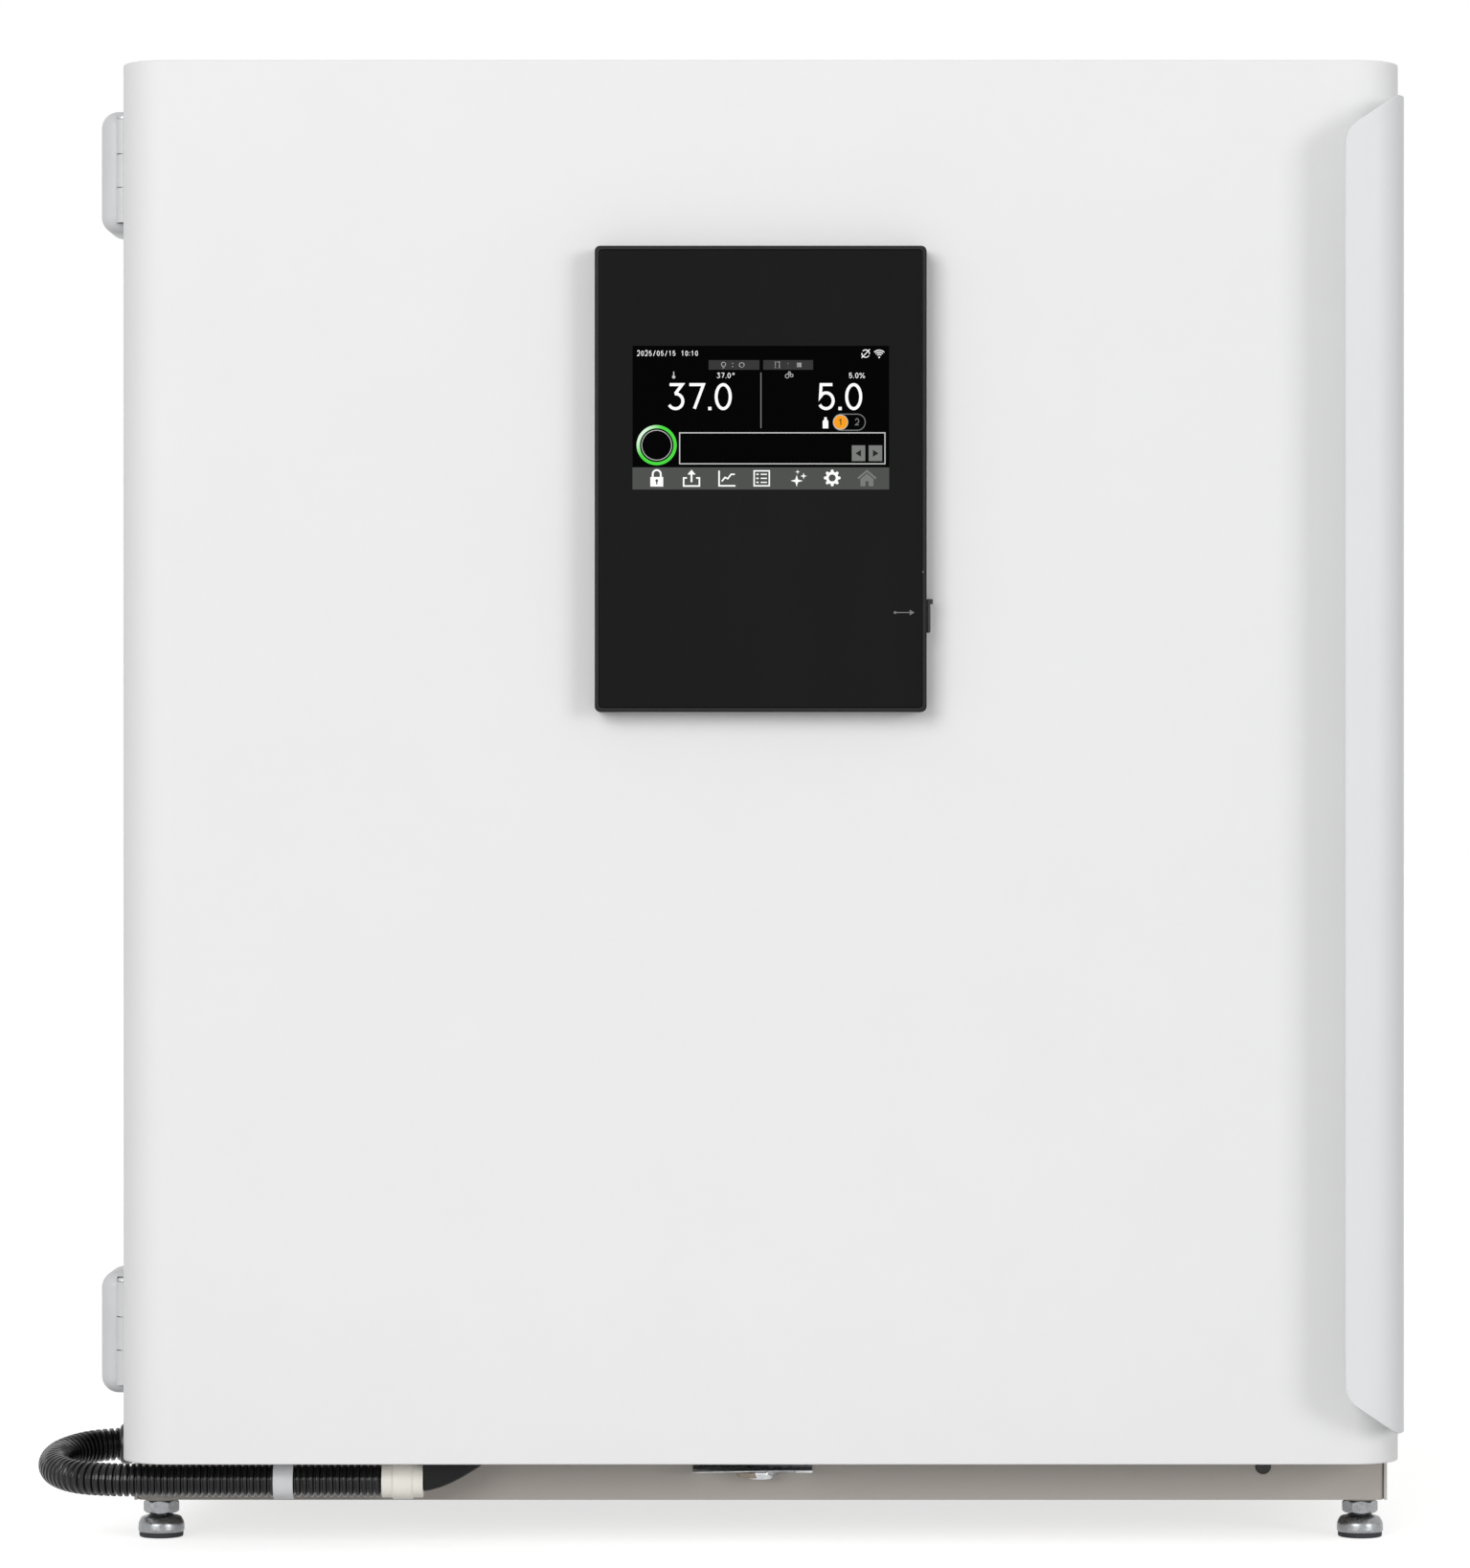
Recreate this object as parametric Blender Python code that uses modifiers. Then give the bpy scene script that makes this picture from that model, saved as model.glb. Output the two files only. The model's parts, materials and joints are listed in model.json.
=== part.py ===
"""Carbon dioxide incubator: a jacketed steel cabinet on four levelling feet, an inner glass door, and a
heated outer door with a full-height bent handle, a display and a conduit that crosses the hinge side.

The front faces -Y, +X is to the right seen from the front, and the feet stand on Z = 0.
"""

import math

import bmesh
import bpy
from mathutils import Matrix, Vector

# Overall sizes
DOOR_WIDTH = 0.770
DOOR_HEIGHT = 0.842
DOOR_BOTTOM = 0.055
DOOR_TOP = DOOR_BOTTOM + DOOR_HEIGHT
UNIT_DEPTH = 0.730
CABINET_INSET = 0.002
CABINET_WIDTH = DOOR_WIDTH - 2 * CABINET_INSET
CABINET_BOTTOM = 0.0254
CABINET_RISE = 0.008
CABINET_TOP = DOOR_TOP + CABINET_RISE
CLEAR = 0.0003

# Cabinet sheet metal
CASE_SHEET = 0.002
CASE_CORNER = 0.004
FRAME_SHEET = 0.0012
BASE_SHEET = 0.0015
BASE_TOP = 0.062
REAR_SHEET = 0.0015
REAR_FLANGE = 0.015
REAR_COVER_DEPTH = 0.040
REAR_COVER_LEFT_INSET = 0.203
REAR_COVER_RIGHT_INSET = 0.053
REAR_COVER_TOP_INSET = 0.045
REAR_COVER_LEFT = -CABINET_WIDTH / 2 + REAR_COVER_LEFT_INSET
REAR_COVER_RIGHT = CABINET_WIDTH / 2 - REAR_COVER_RIGHT_INSET
REAR_COVER_LOW = 0.300
REAR_COVER_HIGH = CABINET_TOP - REAR_COVER_TOP_INSET
COVER_SHEET = 0.0012
LOUVRE_COUNT = 7
LOUVRE_LENGTH = 0.130
LOUVRE_HEIGHT = 0.005
LOUVRE_PITCH = 0.014

# Chamber and its front
SIDE_INSULATION = 0.0615
TOP_INSULATION = 0.089
REAR_INSULATION = 0.081
CHAMBER_WIDTH = CABINET_WIDTH - 2 * SIDE_INSULATION
CHAMBER_BOTTOM = 0.116
CHAMBER_TOP = CABINET_TOP - TOP_INSULATION
CHAMBER_SHEET = 0.0015
CHAMBER_CORNER = 0.025
CHAMBER_FLANGE = 0.022
POCKET_DEPTH = 0.016
POCKET_BORDER = 0.0345
POCKET_CORNER = 0.020
GLASS_SEAL_DEPTH = 0.0054
GLASS_SEAL_WIDTH = 0.014

# Shelves, pan and their supports
SHELF_COUNT = 3
SHELF_FIRST = CHAMBER_BOTTOM + 0.159
SHELF_PITCH = 0.170
SHELF_FRONT_GAP = 0.0172
SHELF_RIM = 0.012
SHELF_SHEET = 0.001
SHELF_SIDE_GAP = 0.010
SHELF_REAR_GAP = 0.014
SLOT_COLUMNS = 8
SLOT_ROWS = 4
SLOT_LENGTH = 0.050
SLOT_WIDTH = 0.014
LEDGE_WIDTH = 0.016
LEDGE_HEIGHT = 0.008
PAN_HEIGHT = 0.034
PAN_SIDE_GAP = 0.030
PAN_FRONT_GAP = 0.050

# Outer door
DOOR_SHELL = 0.065
DOOR_GAP = 0.005
DOOR_SHEET = 0.001
DOOR_EDGE_RADIUS = 0.030
LINER_RECESS = 0.024
LINER_RIM = 0.035
LINER_FLANGE = 0.010
DOOR_SEAL_WIDTH = 0.014
DOOR_SEAL_INSET = 0.004

# Bent handle on the door's right side
HANDLE_STANDOFF = 0.030
HANDLE_SHEET = 0.002
HANDLE_BEND = 0.027
HANDLE_LEAN = math.radians(3.9)
HANDLE_LIP = 0.0105
HANDLE_LEAN_RUN = 0.034
HANDLE_FLANGE = 0.026
HANDLE_END_GAP = 0.0218
HANDLE_HEIGHT = DOOR_HEIGHT - 2 * HANDLE_END_GAP
HANDLE_DROP = 0.0012
HANDLE_SLANT = math.radians(33.6)
HANDLE_SLANT_WIDTH = 0.0325
HANDLE_CORNER = 0.016

# Display on the door
DISPLAY_WIDTH = 0.198
DISPLAY_HEIGHT = 0.278
DISPLAY_HIGH = DOOR_TOP - 0.113
DISPLAY_LOW = DISPLAY_HIGH - DISPLAY_HEIGHT
DISPLAY_PROUD = 0.019
DISPLAY_WALL = 0.0025
DISPLAY_CORNER = 0.003
DISPLAY_EDGE = 0.0012
DISPLAY_BORDER = 0.0024
GLASS_SHEET = 0.0011
GLASS_POCKET = 0.0014
USB_CENTRE = DISPLAY_LOW + 0.0574
USB_HEIGHT = 0.014
USB_WIDTH = 0.0065
USB_DEPTH = 0.014
USB_SHEET = 0.0007
USB_COVER_HEIGHT = 0.020
USB_COVER_WIDTH = 0.012
USB_COVER_SHEET = 0.002

# Outer hinges
HINGE_OFFSET = 0.0045
HINGE_FORWARD = 0.001
KNUCKLE_RADIUS = 0.0042
HINGE_PIN_RADIUS = 0.002
HINGE_CENTRES = (DOOR_BOTTOM + 0.0725, DOOR_TOP - 0.0595)
HINGE_HEIGHT = 0.063
HINGE_LEAF = 0.0014
COVER_REACH = 0.021
COVER_HEIGHT = 0.075
COVER_DEPTH = 0.054
COVER_CORNER = 0.007
COVER_WALL = 0.0018

# Inner glass door, its hinges and latch
GLASS_PANE = 0.005
GLASS_EDGE_GAP = 0.011
GLASS_CORNER = 0.008
INNER_KNUCKLE = 0.003
INNER_PIN = 0.0014
INNER_HINGE_SIDE = 0.0055
INNER_HINGE_HEIGHT = 0.040
INNER_HINGE_INSET = 0.110
INNER_LEAF = 0.002
LATCH_INSET = 0.015
LATCH_PLATE = 0.002
LATCH_TONGUE = 0.0225
LATCH_KNOB_RADIUS = 0.010
LATCH_KNOB_HEIGHT = 0.018
LATCH_DISC = 0.011
LATCH_BAR = 0.0185
LATCH_BAR_WIDTH = 0.007
KEEPER_SHEET = 0.0022

# Fan, duct, lamp and sensors on the chamber's rear wall
DUCT_WIDTH = 0.300
DUCT_FLOOR_GAP = 0.214
DUCT_CEILING_GAP = 0.026
DUCT_LOW = CHAMBER_BOTTOM + DUCT_FLOOR_GAP
DUCT_HIGH = CHAMBER_TOP - DUCT_CEILING_GAP
DUCT_DEPTH = 0.040
DUCT_SHEET = 0.001
DUCT_CORNER = 0.012
INTAKE_SLOT = 0.008
INTAKE_LOW = 0.020
INTAKE_HIGH = 0.070
FAN_DROP = 0.090
FAN_HEIGHT = DUCT_HIGH - FAN_DROP
FAN_RADIUS = 0.048
FAN_BLADES = 9
FAN_BLADE_DEPTH = 0.016
FAN_PLATE = 0.0015
FAN_HUB_RADIUS = 0.013
FAN_BLADE_THICK = 0.0016
FAN_SWEEP = math.radians(42)
GRILLE_RADIUS = 0.050
GRILLE_SLOTS = 7
GRILLE_SLOT = 0.007
SHAFT_RADIUS = 0.004
MOTOR_RADIUS = 0.030
MOTOR_LENGTH = 0.038
LAMP_RADIUS = 0.0075
LAMP_CAP_RADIUS = 0.0095
LAMP_LENGTH = 0.210
LAMP_CAP_LENGTH = 0.018
LAMP_RISE = 0.190
LAMP_HEIGHT = DUCT_LOW + LAMP_RISE
SENSOR_INSETS = (0.1215, 0.0815)
SENSOR_SIDES = tuple(CHAMBER_WIDTH / 2 - inset for inset in SENSOR_INSETS)
SENSOR_RADII = (0.004, 0.009)
SENSOR_DROP = 0.096
SENSOR_HEIGHT = CHAMBER_TOP - SENSOR_DROP
SENSOR_LENGTH = 0.070

# Access port, terminals and switch on the rear
PORT_INSET = 0.0615
PORT_DROP = 0.076
PORT_SIDE = -CHAMBER_WIDTH / 2 + PORT_INSET
PORT_HEIGHT = CHAMBER_TOP - PORT_DROP
PORT_BORE = 0.015
PORT_WALL = 0.005
PORT_FLANGE = 0.026
PORT_FLANGE_SHEET = 0.003
GAS_INSET = 0.123
GAS_RISE = 0.238
CORD_INSET = 0.163
CORD_RISE = 0.078
SWITCH_INSET = 0.083
GAS_SIDE = -CABINET_WIDTH / 2 + GAS_INSET
GAS_HEIGHT = BASE_TOP + GAS_RISE
CORD_SIDE = CABINET_WIDTH / 2 - CORD_INSET
CORD_HEIGHT = BASE_TOP + CORD_RISE
SWITCH_SIDE = CABINET_WIDTH / 2 - SWITCH_INSET
SWITCH_HEIGHT = CORD_HEIGHT
SWITCH_BODY = (0.024, 0.012, 0.036)
SWITCH_WALL = 0.002
SWITCH_TILT = math.radians(7)

# Feet
FOOT_SIDE_INSET = 0.014
FOOT_SIDE = CABINET_WIDTH / 2 - FOOT_SIDE_INSET
FOOT_FRONT_INSET = 0.026
FOOT_REAR_INSET = 0.040
FOOT_PAD_RADIUS = 0.01425
FOOT_PAD_HEIGHT = 0.013
FOOT_HEX_FLATS = 0.019
FOOT_HEX_LOW = 0.0149
FOOT_STUD_RADIUS = 0.005
FOOT_STUD_TOP = 0.055
FOOT_COLLAR_RADIUS = 0.0105
FOOT_COLLAR = 0.0027

# Catch under the door
CATCH_SIDE = -0.005
CATCH_WIDTH = 0.073
CATCH_SHEET = 0.0012
CATCH_LOW = 0.0444
CATCH_REACH = 0.020
CATCH_NUB_RADIUS = 0.0105
CATCH_NUB_TIP = 0.0075
CATCH_NUB_DROP = 0.0044

# Conduit from the cabinet's side to the door's underside
CONDUIT_RADIUS = 0.010
CONDUIT_HEIGHT = 0.0417
CONDUIT_SETBACK = 0.035
GLAND_SETBACK = 0.125
GLAND_HEIGHT = 0.0536
GLAND_RADIUS = 0.0125
GLAND_LENGTH = 0.0137
FITTING_LEFT = -0.229
FITTING_RIGHT = -0.204
FITTING_RADIUS = 0.0105
FITTING_BAND = 0.0115
CLIP_SIDE = -0.2885
CLIP_WIDTH = 0.012
CLIP_BAND = 0.0012
BOOT_RIGHT = -0.168
BOOT_WIDTH = 0.018

# Places that follow from the sizes above
HALF_DEPTH = (UNIT_DEPTH + HANDLE_STANDOFF) / 2
DOOR_FRONT = HANDLE_STANDOFF - HALF_DEPTH
DOOR_BACK = DOOR_FRONT + DOOR_SHELL
CABINET_FRONT = DOOR_BACK + DOOR_GAP
UNIT_REAR = DOOR_FRONT + UNIT_DEPTH
PANEL_REAR = UNIT_REAR - REAR_COVER_DEPTH
CASE_INSIDE = CABINET_WIDTH / 2 - CASE_SHEET
CASE_CEILING = CABINET_TOP - CASE_SHEET
FRAME_LOW = BASE_TOP + CLEAR
LEDGE_FRONT = CABINET_FRONT + POCKET_DEPTH
CHAMBER_FRONT = LEDGE_FRONT + FRAME_SHEET + CLEAR
CHAMBER_REAR = PANEL_REAR - REAR_INSULATION
CHAMBER_BACKSIDE = CHAMBER_REAR + CHAMBER_SHEET
POCKET_HALF = CHAMBER_WIDTH / 2 + POCKET_BORDER
POCKET_LOW = CHAMBER_BOTTOM - POCKET_BORDER
POCKET_HIGH = CHAMBER_TOP + POCKET_BORDER
GLASS_BACK = LEDGE_FRONT - GLASS_SEAL_DEPTH - 2 * CLEAR
GLASS_FRONT = GLASS_BACK - GLASS_PANE
HINGE_X = -DOOR_WIDTH / 2 - HINGE_OFFSET
HINGE_Y = CABINET_FRONT - HINGE_FORWARD
INNER_HINGE_X = -POCKET_HALF + INNER_HINGE_SIDE
INNER_HINGE_Y = GLASS_FRONT
LATCH_X = POCKET_HALF - GLASS_EDGE_GAP - LATCH_INSET
LATCH_Z = (CHAMBER_BOTTOM + CHAMBER_TOP) / 2
LATCH_FACE = GLASS_FRONT - CLEAR - LATCH_PLATE
DUCT_FRONT = CHAMBER_REAR - CLEAR - DUCT_DEPTH
SHELF_REAR = DUCT_FRONT - SHELF_REAR_GAP
SHELF_DEPTH = SHELF_REAR - CHAMBER_FRONT - SHELF_FRONT_GAP
PAN_DEPTH = SHELF_DEPTH - PAN_FRONT_GAP
SHELF_HALF = CHAMBER_WIDTH / 2 - SHELF_SIDE_GAP
HANDLE_OUTER = DOOR_WIDTH / 2 + CLEAR + HANDLE_SHEET
HANDLE_CENTRE = DOOR_BOTTOM + DOOR_HEIGHT / 2 - HANDLE_DROP
CONDUIT_Y = DOOR_FRONT + CONDUIT_SETBACK
GLAND_Y = DOOR_FRONT + GLAND_SETBACK
GLAND_MOUTH = -CABINET_WIDTH / 2 - CLEAR - GLAND_LENGTH
FOOTPRINT_LEFT = -CABINET_WIDTH / 2 - COVER_REACH
FOOTPRINT_SHIFT = -(FOOTPRINT_LEFT + HANDLE_OUTER) / 2

FINISHES = {
    "door_paint": ((0.83, 0.83, 0.83), 0.35, 0.0),
    "handle_paint": ((0.80, 0.80, 0.79), 0.32, 0.1),
    "case_paint": ((0.62, 0.60, 0.57), 0.45, 0.0),
    "base_paint": ((0.27, 0.25, 0.23), 0.55, 0.0),
    "white_plastic": ((0.80, 0.80, 0.78), 0.40, 0.0),
    "black_plastic": ((0.012, 0.012, 0.012), 0.25, 0.0),
    "black_glass": ((0.010, 0.010, 0.011), 0.08, 0.0),
    "stainless": ((0.58, 0.58, 0.56), 0.30, 1.0),
    "zinc_steel": ((0.50, 0.50, 0.50), 0.38, 1.0),
    "clear_glass": ((0.75, 0.82, 0.80), 0.05, 0.0),
    "foam": ((0.80, 0.76, 0.60), 0.90, 0.0),
    "grey_rubber": ((0.30, 0.30, 0.31), 0.70, 0.0),
    "white_rubber": ((0.72, 0.72, 0.70), 0.65, 0.0),
    "lamp_glass": ((0.75, 0.78, 0.85), 0.10, 0.0),
    "brass": ((0.72, 0.55, 0.25), 0.30, 1.0),
}


def clear_scene():
    """Remove what the file held before."""
    for obj in list(bpy.data.objects):
        bpy.data.objects.remove(obj)


def make_collection(name):
    """Add a collection to the scene."""
    collection = bpy.data.collections.new(name)
    bpy.context.scene.collection.children.link(collection)
    return collection


clear_scene()
PARTS = make_collection("carbon_dioxide_incubator")
CUTTERS = make_collection("cutters")


def finish(name):
    """The named Principled material, made at its first use."""
    if name in bpy.data.materials:
        return bpy.data.materials[name]
    colour, roughness, metallic = FINISHES[name]
    material = bpy.data.materials.new(name)
    material.use_nodes = True
    shader = material.node_tree.nodes["Principled BSDF"]
    shader.inputs["Base Color"].default_value = (*colour, 1.0)
    shader.inputs["Roughness"].default_value = roughness
    shader.inputs["Metallic"].default_value = metallic
    return material


def part(obj, finish_name, round_angle=30):
    """Show an object as a sub-part: link it, dress it, and shade its round faces smooth."""
    PARTS.objects.link(obj)
    obj.data.materials.append(finish(finish_name))
    if obj.type == "MESH":
        obj.data.shade_smooth()
        obj.data.set_sharp_from_angle(angle=math.radians(round_angle))
    return obj


def tool(obj):
    """Keep an object as a shape for Booleans only."""
    CUTTERS.objects.link(obj)
    obj.hide_render = True
    obj.display_type = "WIRE"
    return obj


def combine(target, operation, *shapes):
    """Cut, join or intersect a sub-part with the given shapes, one modifier each."""
    for shape in shapes:
        modifier = target.modifiers.new(operation.lower(), "BOOLEAN")
        modifier.operation = operation
        modifier.object = tool(shape)
    return target


def bevel(obj, width, segments=2, angle=30):
    """Round the edges that are sharper than the angle."""
    modifier = obj.modifiers.new("rounding", "BEVEL")
    modifier.width = width
    modifier.segments = segments
    modifier.limit_method = "ANGLE"
    modifier.angle_limit = math.radians(angle)
    return obj


def hang(name, place, *children):
    """Parent moving pieces to an empty on their joint's axis."""
    empty = bpy.data.objects.new(name, None)
    empty.location = place
    empty.empty_display_size = 0.02
    PARTS.objects.link(empty)
    for child in children:
        child.parent = empty
        child.matrix_parent_inverse = Matrix.Translation(-Vector(place))
    return empty


def from_bmesh(name, bm, place=(0, 0, 0)):
    """An unlinked object from a bmesh."""
    mesh = bpy.data.meshes.new(name)
    bm.to_mesh(mesh)
    bm.free()
    obj = bpy.data.objects.new(name, mesh)
    obj.location = place
    return obj


def box(name, low, high):
    """A block between two corners."""
    low, high = Vector(low), Vector(high)
    bm = bmesh.new()
    bmesh.ops.create_cube(bm, size=1.0)
    bmesh.ops.scale(bm, vec=high - low, verts=bm.verts)
    return from_bmesh(name, bm, (low + high) / 2)


def boxes(name, corners):
    """Several blocks in one mesh, for a pattern of cuts."""
    bm = bmesh.new()
    for low, high in corners:
        low, high = Vector(low), Vector(high)
        place = Matrix.Translation((low + high) / 2) @ Matrix.Diagonal((*(high - low), 1))
        bmesh.ops.create_cube(bm, size=1.0, matrix=place)
    return from_bmesh(name, bm)


def rod(name, radius, start, end, sides=24):
    """A cylinder, or a prism of few sides, between two points."""
    start, end = Vector(start), Vector(end)
    bm = bmesh.new()
    bmesh.ops.create_cone(
        bm, cap_ends=True, segments=sides, radius1=radius, radius2=radius, depth=(end - start).length
    )
    obj = from_bmesh(name, bm, (start + end) / 2)
    obj.rotation_euler = (end - start).to_track_quat("Z", "Y").to_euler()
    return obj


def turned(name, profile, place, axis, sides=24):
    """A turned solid. Its profile of (radius, height) runs down the outer side from the top."""
    bm = bmesh.new()
    verts = [bm.verts.new((radius, 0, height)) for radius, height in profile]
    for upper, lower in zip(verts, verts[1:]):
        bm.edges.new((upper, lower))
    obj = from_bmesh(name, bm, place)
    obj.rotation_euler = Vector(axis).to_track_quat("Z", "Y").to_euler()
    screw = obj.modifiers.new("turning", "SCREW")
    screw.steps = sides
    screw.render_steps = sides
    screw.use_merge_vertices = True
    screw.merge_threshold = 0.00001
    return obj


def flat(name, outlines, axis, low, high):
    """A plate between two levels on an axis. Its first outline is the rim and the others are holes.

    Outline points are (y, z), (x, z) or (x, y) for a plate that faces X, Y or Z.
    """
    curve = bpy.data.curves.new(name, "CURVE")
    curve.dimensions = "2D"
    curve.fill_mode = "BOTH"
    curve.extrude = (high - low) / 2
    for points in outlines:
        spline = curve.splines.new("POLY")
        spline.points.add(len(points) - 1)
        for point, (u, v) in zip(spline.points, points):
            point.co = (u, v, 0, 1)
        spline.use_cyclic_u = True
    guide = bpy.data.objects.new(name + "_outline", curve)
    bpy.context.scene.collection.objects.link(guide)
    bpy.context.view_layer.update()
    graph = bpy.context.evaluated_depsgraph_get()
    mesh = bpy.data.meshes.new_from_object(guide.evaluated_get(graph))
    bpy.data.objects.remove(guide)
    bm = bmesh.new()
    bm.from_mesh(mesh)
    bmesh.ops.remove_doubles(bm, verts=bm.verts, dist=0.00001)
    bmesh.ops.recalc_face_normals(bm, faces=bm.faces)
    bpy.data.meshes.remove(mesh)
    middle = (low + high) / 2
    obj = from_bmesh(name, bm)
    if axis == "X":
        obj.location.x = middle
        obj.rotation_euler = (math.pi / 2, 0, math.pi / 2)
    elif axis == "Y":
        obj.location.y = middle
        obj.rotation_euler = (math.pi / 2, 0, 0)
    else:
        obj.location.z = middle
    return obj


def loft(name, rows, closed=True, cap=False, both_caps=False, wall=0.0, grow=-1):
    """A skin through rows of points. A wall makes it a sheet that grows with (+1) or against (-1)
    the skin's normals; closed rows form loops, and cap fills the last one."""
    bm = bmesh.new()
    grid = [[bm.verts.new(point) for point in row] for row in rows]
    count = len(rows[0])
    for first, second in zip(grid, grid[1:]):
        for i in range(count if closed else count - 1):
            j = (i + 1) % count
            bm.faces.new((first[i], first[j], second[j], second[i]))
    if cap or both_caps:
        bm.faces.new(grid[-1])
    if both_caps:
        bm.faces.new(list(reversed(grid[0])))
        bmesh.ops.recalc_face_normals(bm, faces=bm.faces)
    obj = from_bmesh(name, bm)
    if wall:
        sheet = obj.modifiers.new("sheet", "SOLIDIFY")
        sheet.thickness = wall
        sheet.offset = grow
        sheet.use_even_offset = True
    return obj


def tube(name, points, radius):
    """A round tube along a polyline, with its ends filled."""
    curve = bpy.data.curves.new(name, "CURVE")
    curve.dimensions = "3D"
    curve.bevel_depth = radius
    curve.bevel_resolution = 4
    curve.use_fill_caps = True
    spline = curve.splines.new("POLY")
    spline.points.add(len(points) - 1)
    for point, place in zip(spline.points, points):
        point.co = (*place, 1)
    return bpy.data.objects.new(name, curve)


def arc(centre, radius, start, end, steps):
    """Points on an arc between two angles in degrees, both ends included."""
    angles = [math.radians(start + (end - start) * i / steps) for i in range(steps + 1)]
    return [(centre[0] + radius * math.cos(a), centre[1] + radius * math.sin(a)) for a in angles]


def rounded_rect(left, right, low, high, radius, steps=4):
    """The corners of a rectangle as arcs, counter-clockwise from the lower right."""
    corners = (
        ((right - radius, low + radius), -90),
        ((right - radius, high - radius), 0),
        ((left + radius, high - radius), 90),
        ((left + radius, low + radius), 180),
    )
    points = []
    for centre, start in corners:
        points += arc(centre, radius, start, start + 90, steps)
    return points


def facing(points, depth):
    """Loop points (x, z) at a depth Y."""
    return [(x, depth, z) for x, z in points]


def level(points, height):
    """Loop points (x, y) at a height Z."""
    return [(x, y, height) for x, y in points]


def chamber_loop(margin, depth, radius):
    """The chamber's outline, larger by a margin all round, at a depth Y."""
    half = CHAMBER_WIDTH / 2 + margin
    outline = rounded_rect(-half, half, CHAMBER_BOTTOM - margin, CHAMBER_TOP + margin, radius)
    return facing(outline, depth)


def chamber_rows(margin, front, rear):
    """Loops down the chamber's walls, round its rear cove and onto its rear wall."""
    rows = [chamber_loop(margin, front, CHAMBER_CORNER + margin)]
    cove = CHAMBER_CORNER - 0.005 + margin
    for step in range(4):
        angle = math.radians(30 * step)
        inward = cove * (1 - math.cos(angle))
        depth = rear - cove * (1 - math.sin(angle))
        rows.append(chamber_loop(margin - inward, depth, CHAMBER_CORNER + margin - inward))
    return rows


def build_case():
    """The wrap of sides and top, the rear panel with its ports, and the folded base pan."""
    half = CABINET_WIDTH / 2
    r = CASE_CORNER
    section = [(-half, CABINET_BOTTOM)]
    section += arc((-half + r, CABINET_TOP - r), r, 180, 90, 3)
    section += arc((half - r, CABINET_TOP - r), r, 90, 0, 3)
    section.append((half, CABINET_BOTTOM))
    rows = [facing(section, CABINET_FRONT), facing(section, PANEL_REAR)]
    part(loft("outer_case", rows, closed=False, wall=CASE_SHEET), "case_paint")

    rim = CASE_INSIDE - CLEAR
    outline = rounded_rect(-rim, rim, FRAME_LOW, CASE_CEILING - CLEAR, CASE_CORNER, 2)
    rows = [facing(outline, PANEL_REAR - REAR_FLANGE), facing(outline, PANEL_REAR)]
    panel = part(loft("rear_panel", rows, cap=True, wall=REAR_SHEET, grow=1), "case_paint")
    bore = PORT_BORE + PORT_WALL + CLEAR
    combine(panel, "DIFFERENCE", rod("rear_panel_port", bore, *through_rear(PORT_SIDE, PORT_HEIGHT)))

    outline = rounded_rect(-rim, rim, CABINET_FRONT, PANEL_REAR - CLEAR, 0.002, 1)
    rows = [level(outline, BASE_TOP), level(outline, CABINET_BOTTOM)]
    pan = part(loft("base_pan", rows, cap=True, wall=BASE_SHEET, grow=1), "base_paint")
    low = CABINET_BOTTOM - FOOT_COLLAR
    for number, (x, y) in enumerate(foot_places(), 1):
        high = CABINET_BOTTOM + BASE_SHEET / 2
        collar = rod(f"collar_{number}", FOOT_COLLAR_RADIUS, (x, y, low), (x, y, high))
        combine(pan, "UNION", collar)
    for number, (x, y) in enumerate(foot_places(), 1):
        bore = rod(f"foot_bore_{number}", FOOT_STUD_RADIUS + 2 * CLEAR, (x, y, 0), (x, y, BASE_TOP))
        combine(pan, "DIFFERENCE", bore)


def through_rear(x, z):
    """The two ends of a bore from inside the chamber's rear wall to behind the unit."""
    return (x, CHAMBER_REAR - 0.02, z), (x, UNIT_REAR + 0.02, z)


def foot_places():
    """The (x, y) of the four levelling feet."""
    front = CABINET_FRONT + FOOT_FRONT_INSET
    rear = PANEL_REAR - FOOT_REAR_INSET
    return [(-FOOT_SIDE, front), (FOOT_SIDE, front), (-FOOT_SIDE, rear), (FOOT_SIDE, rear)]


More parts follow.
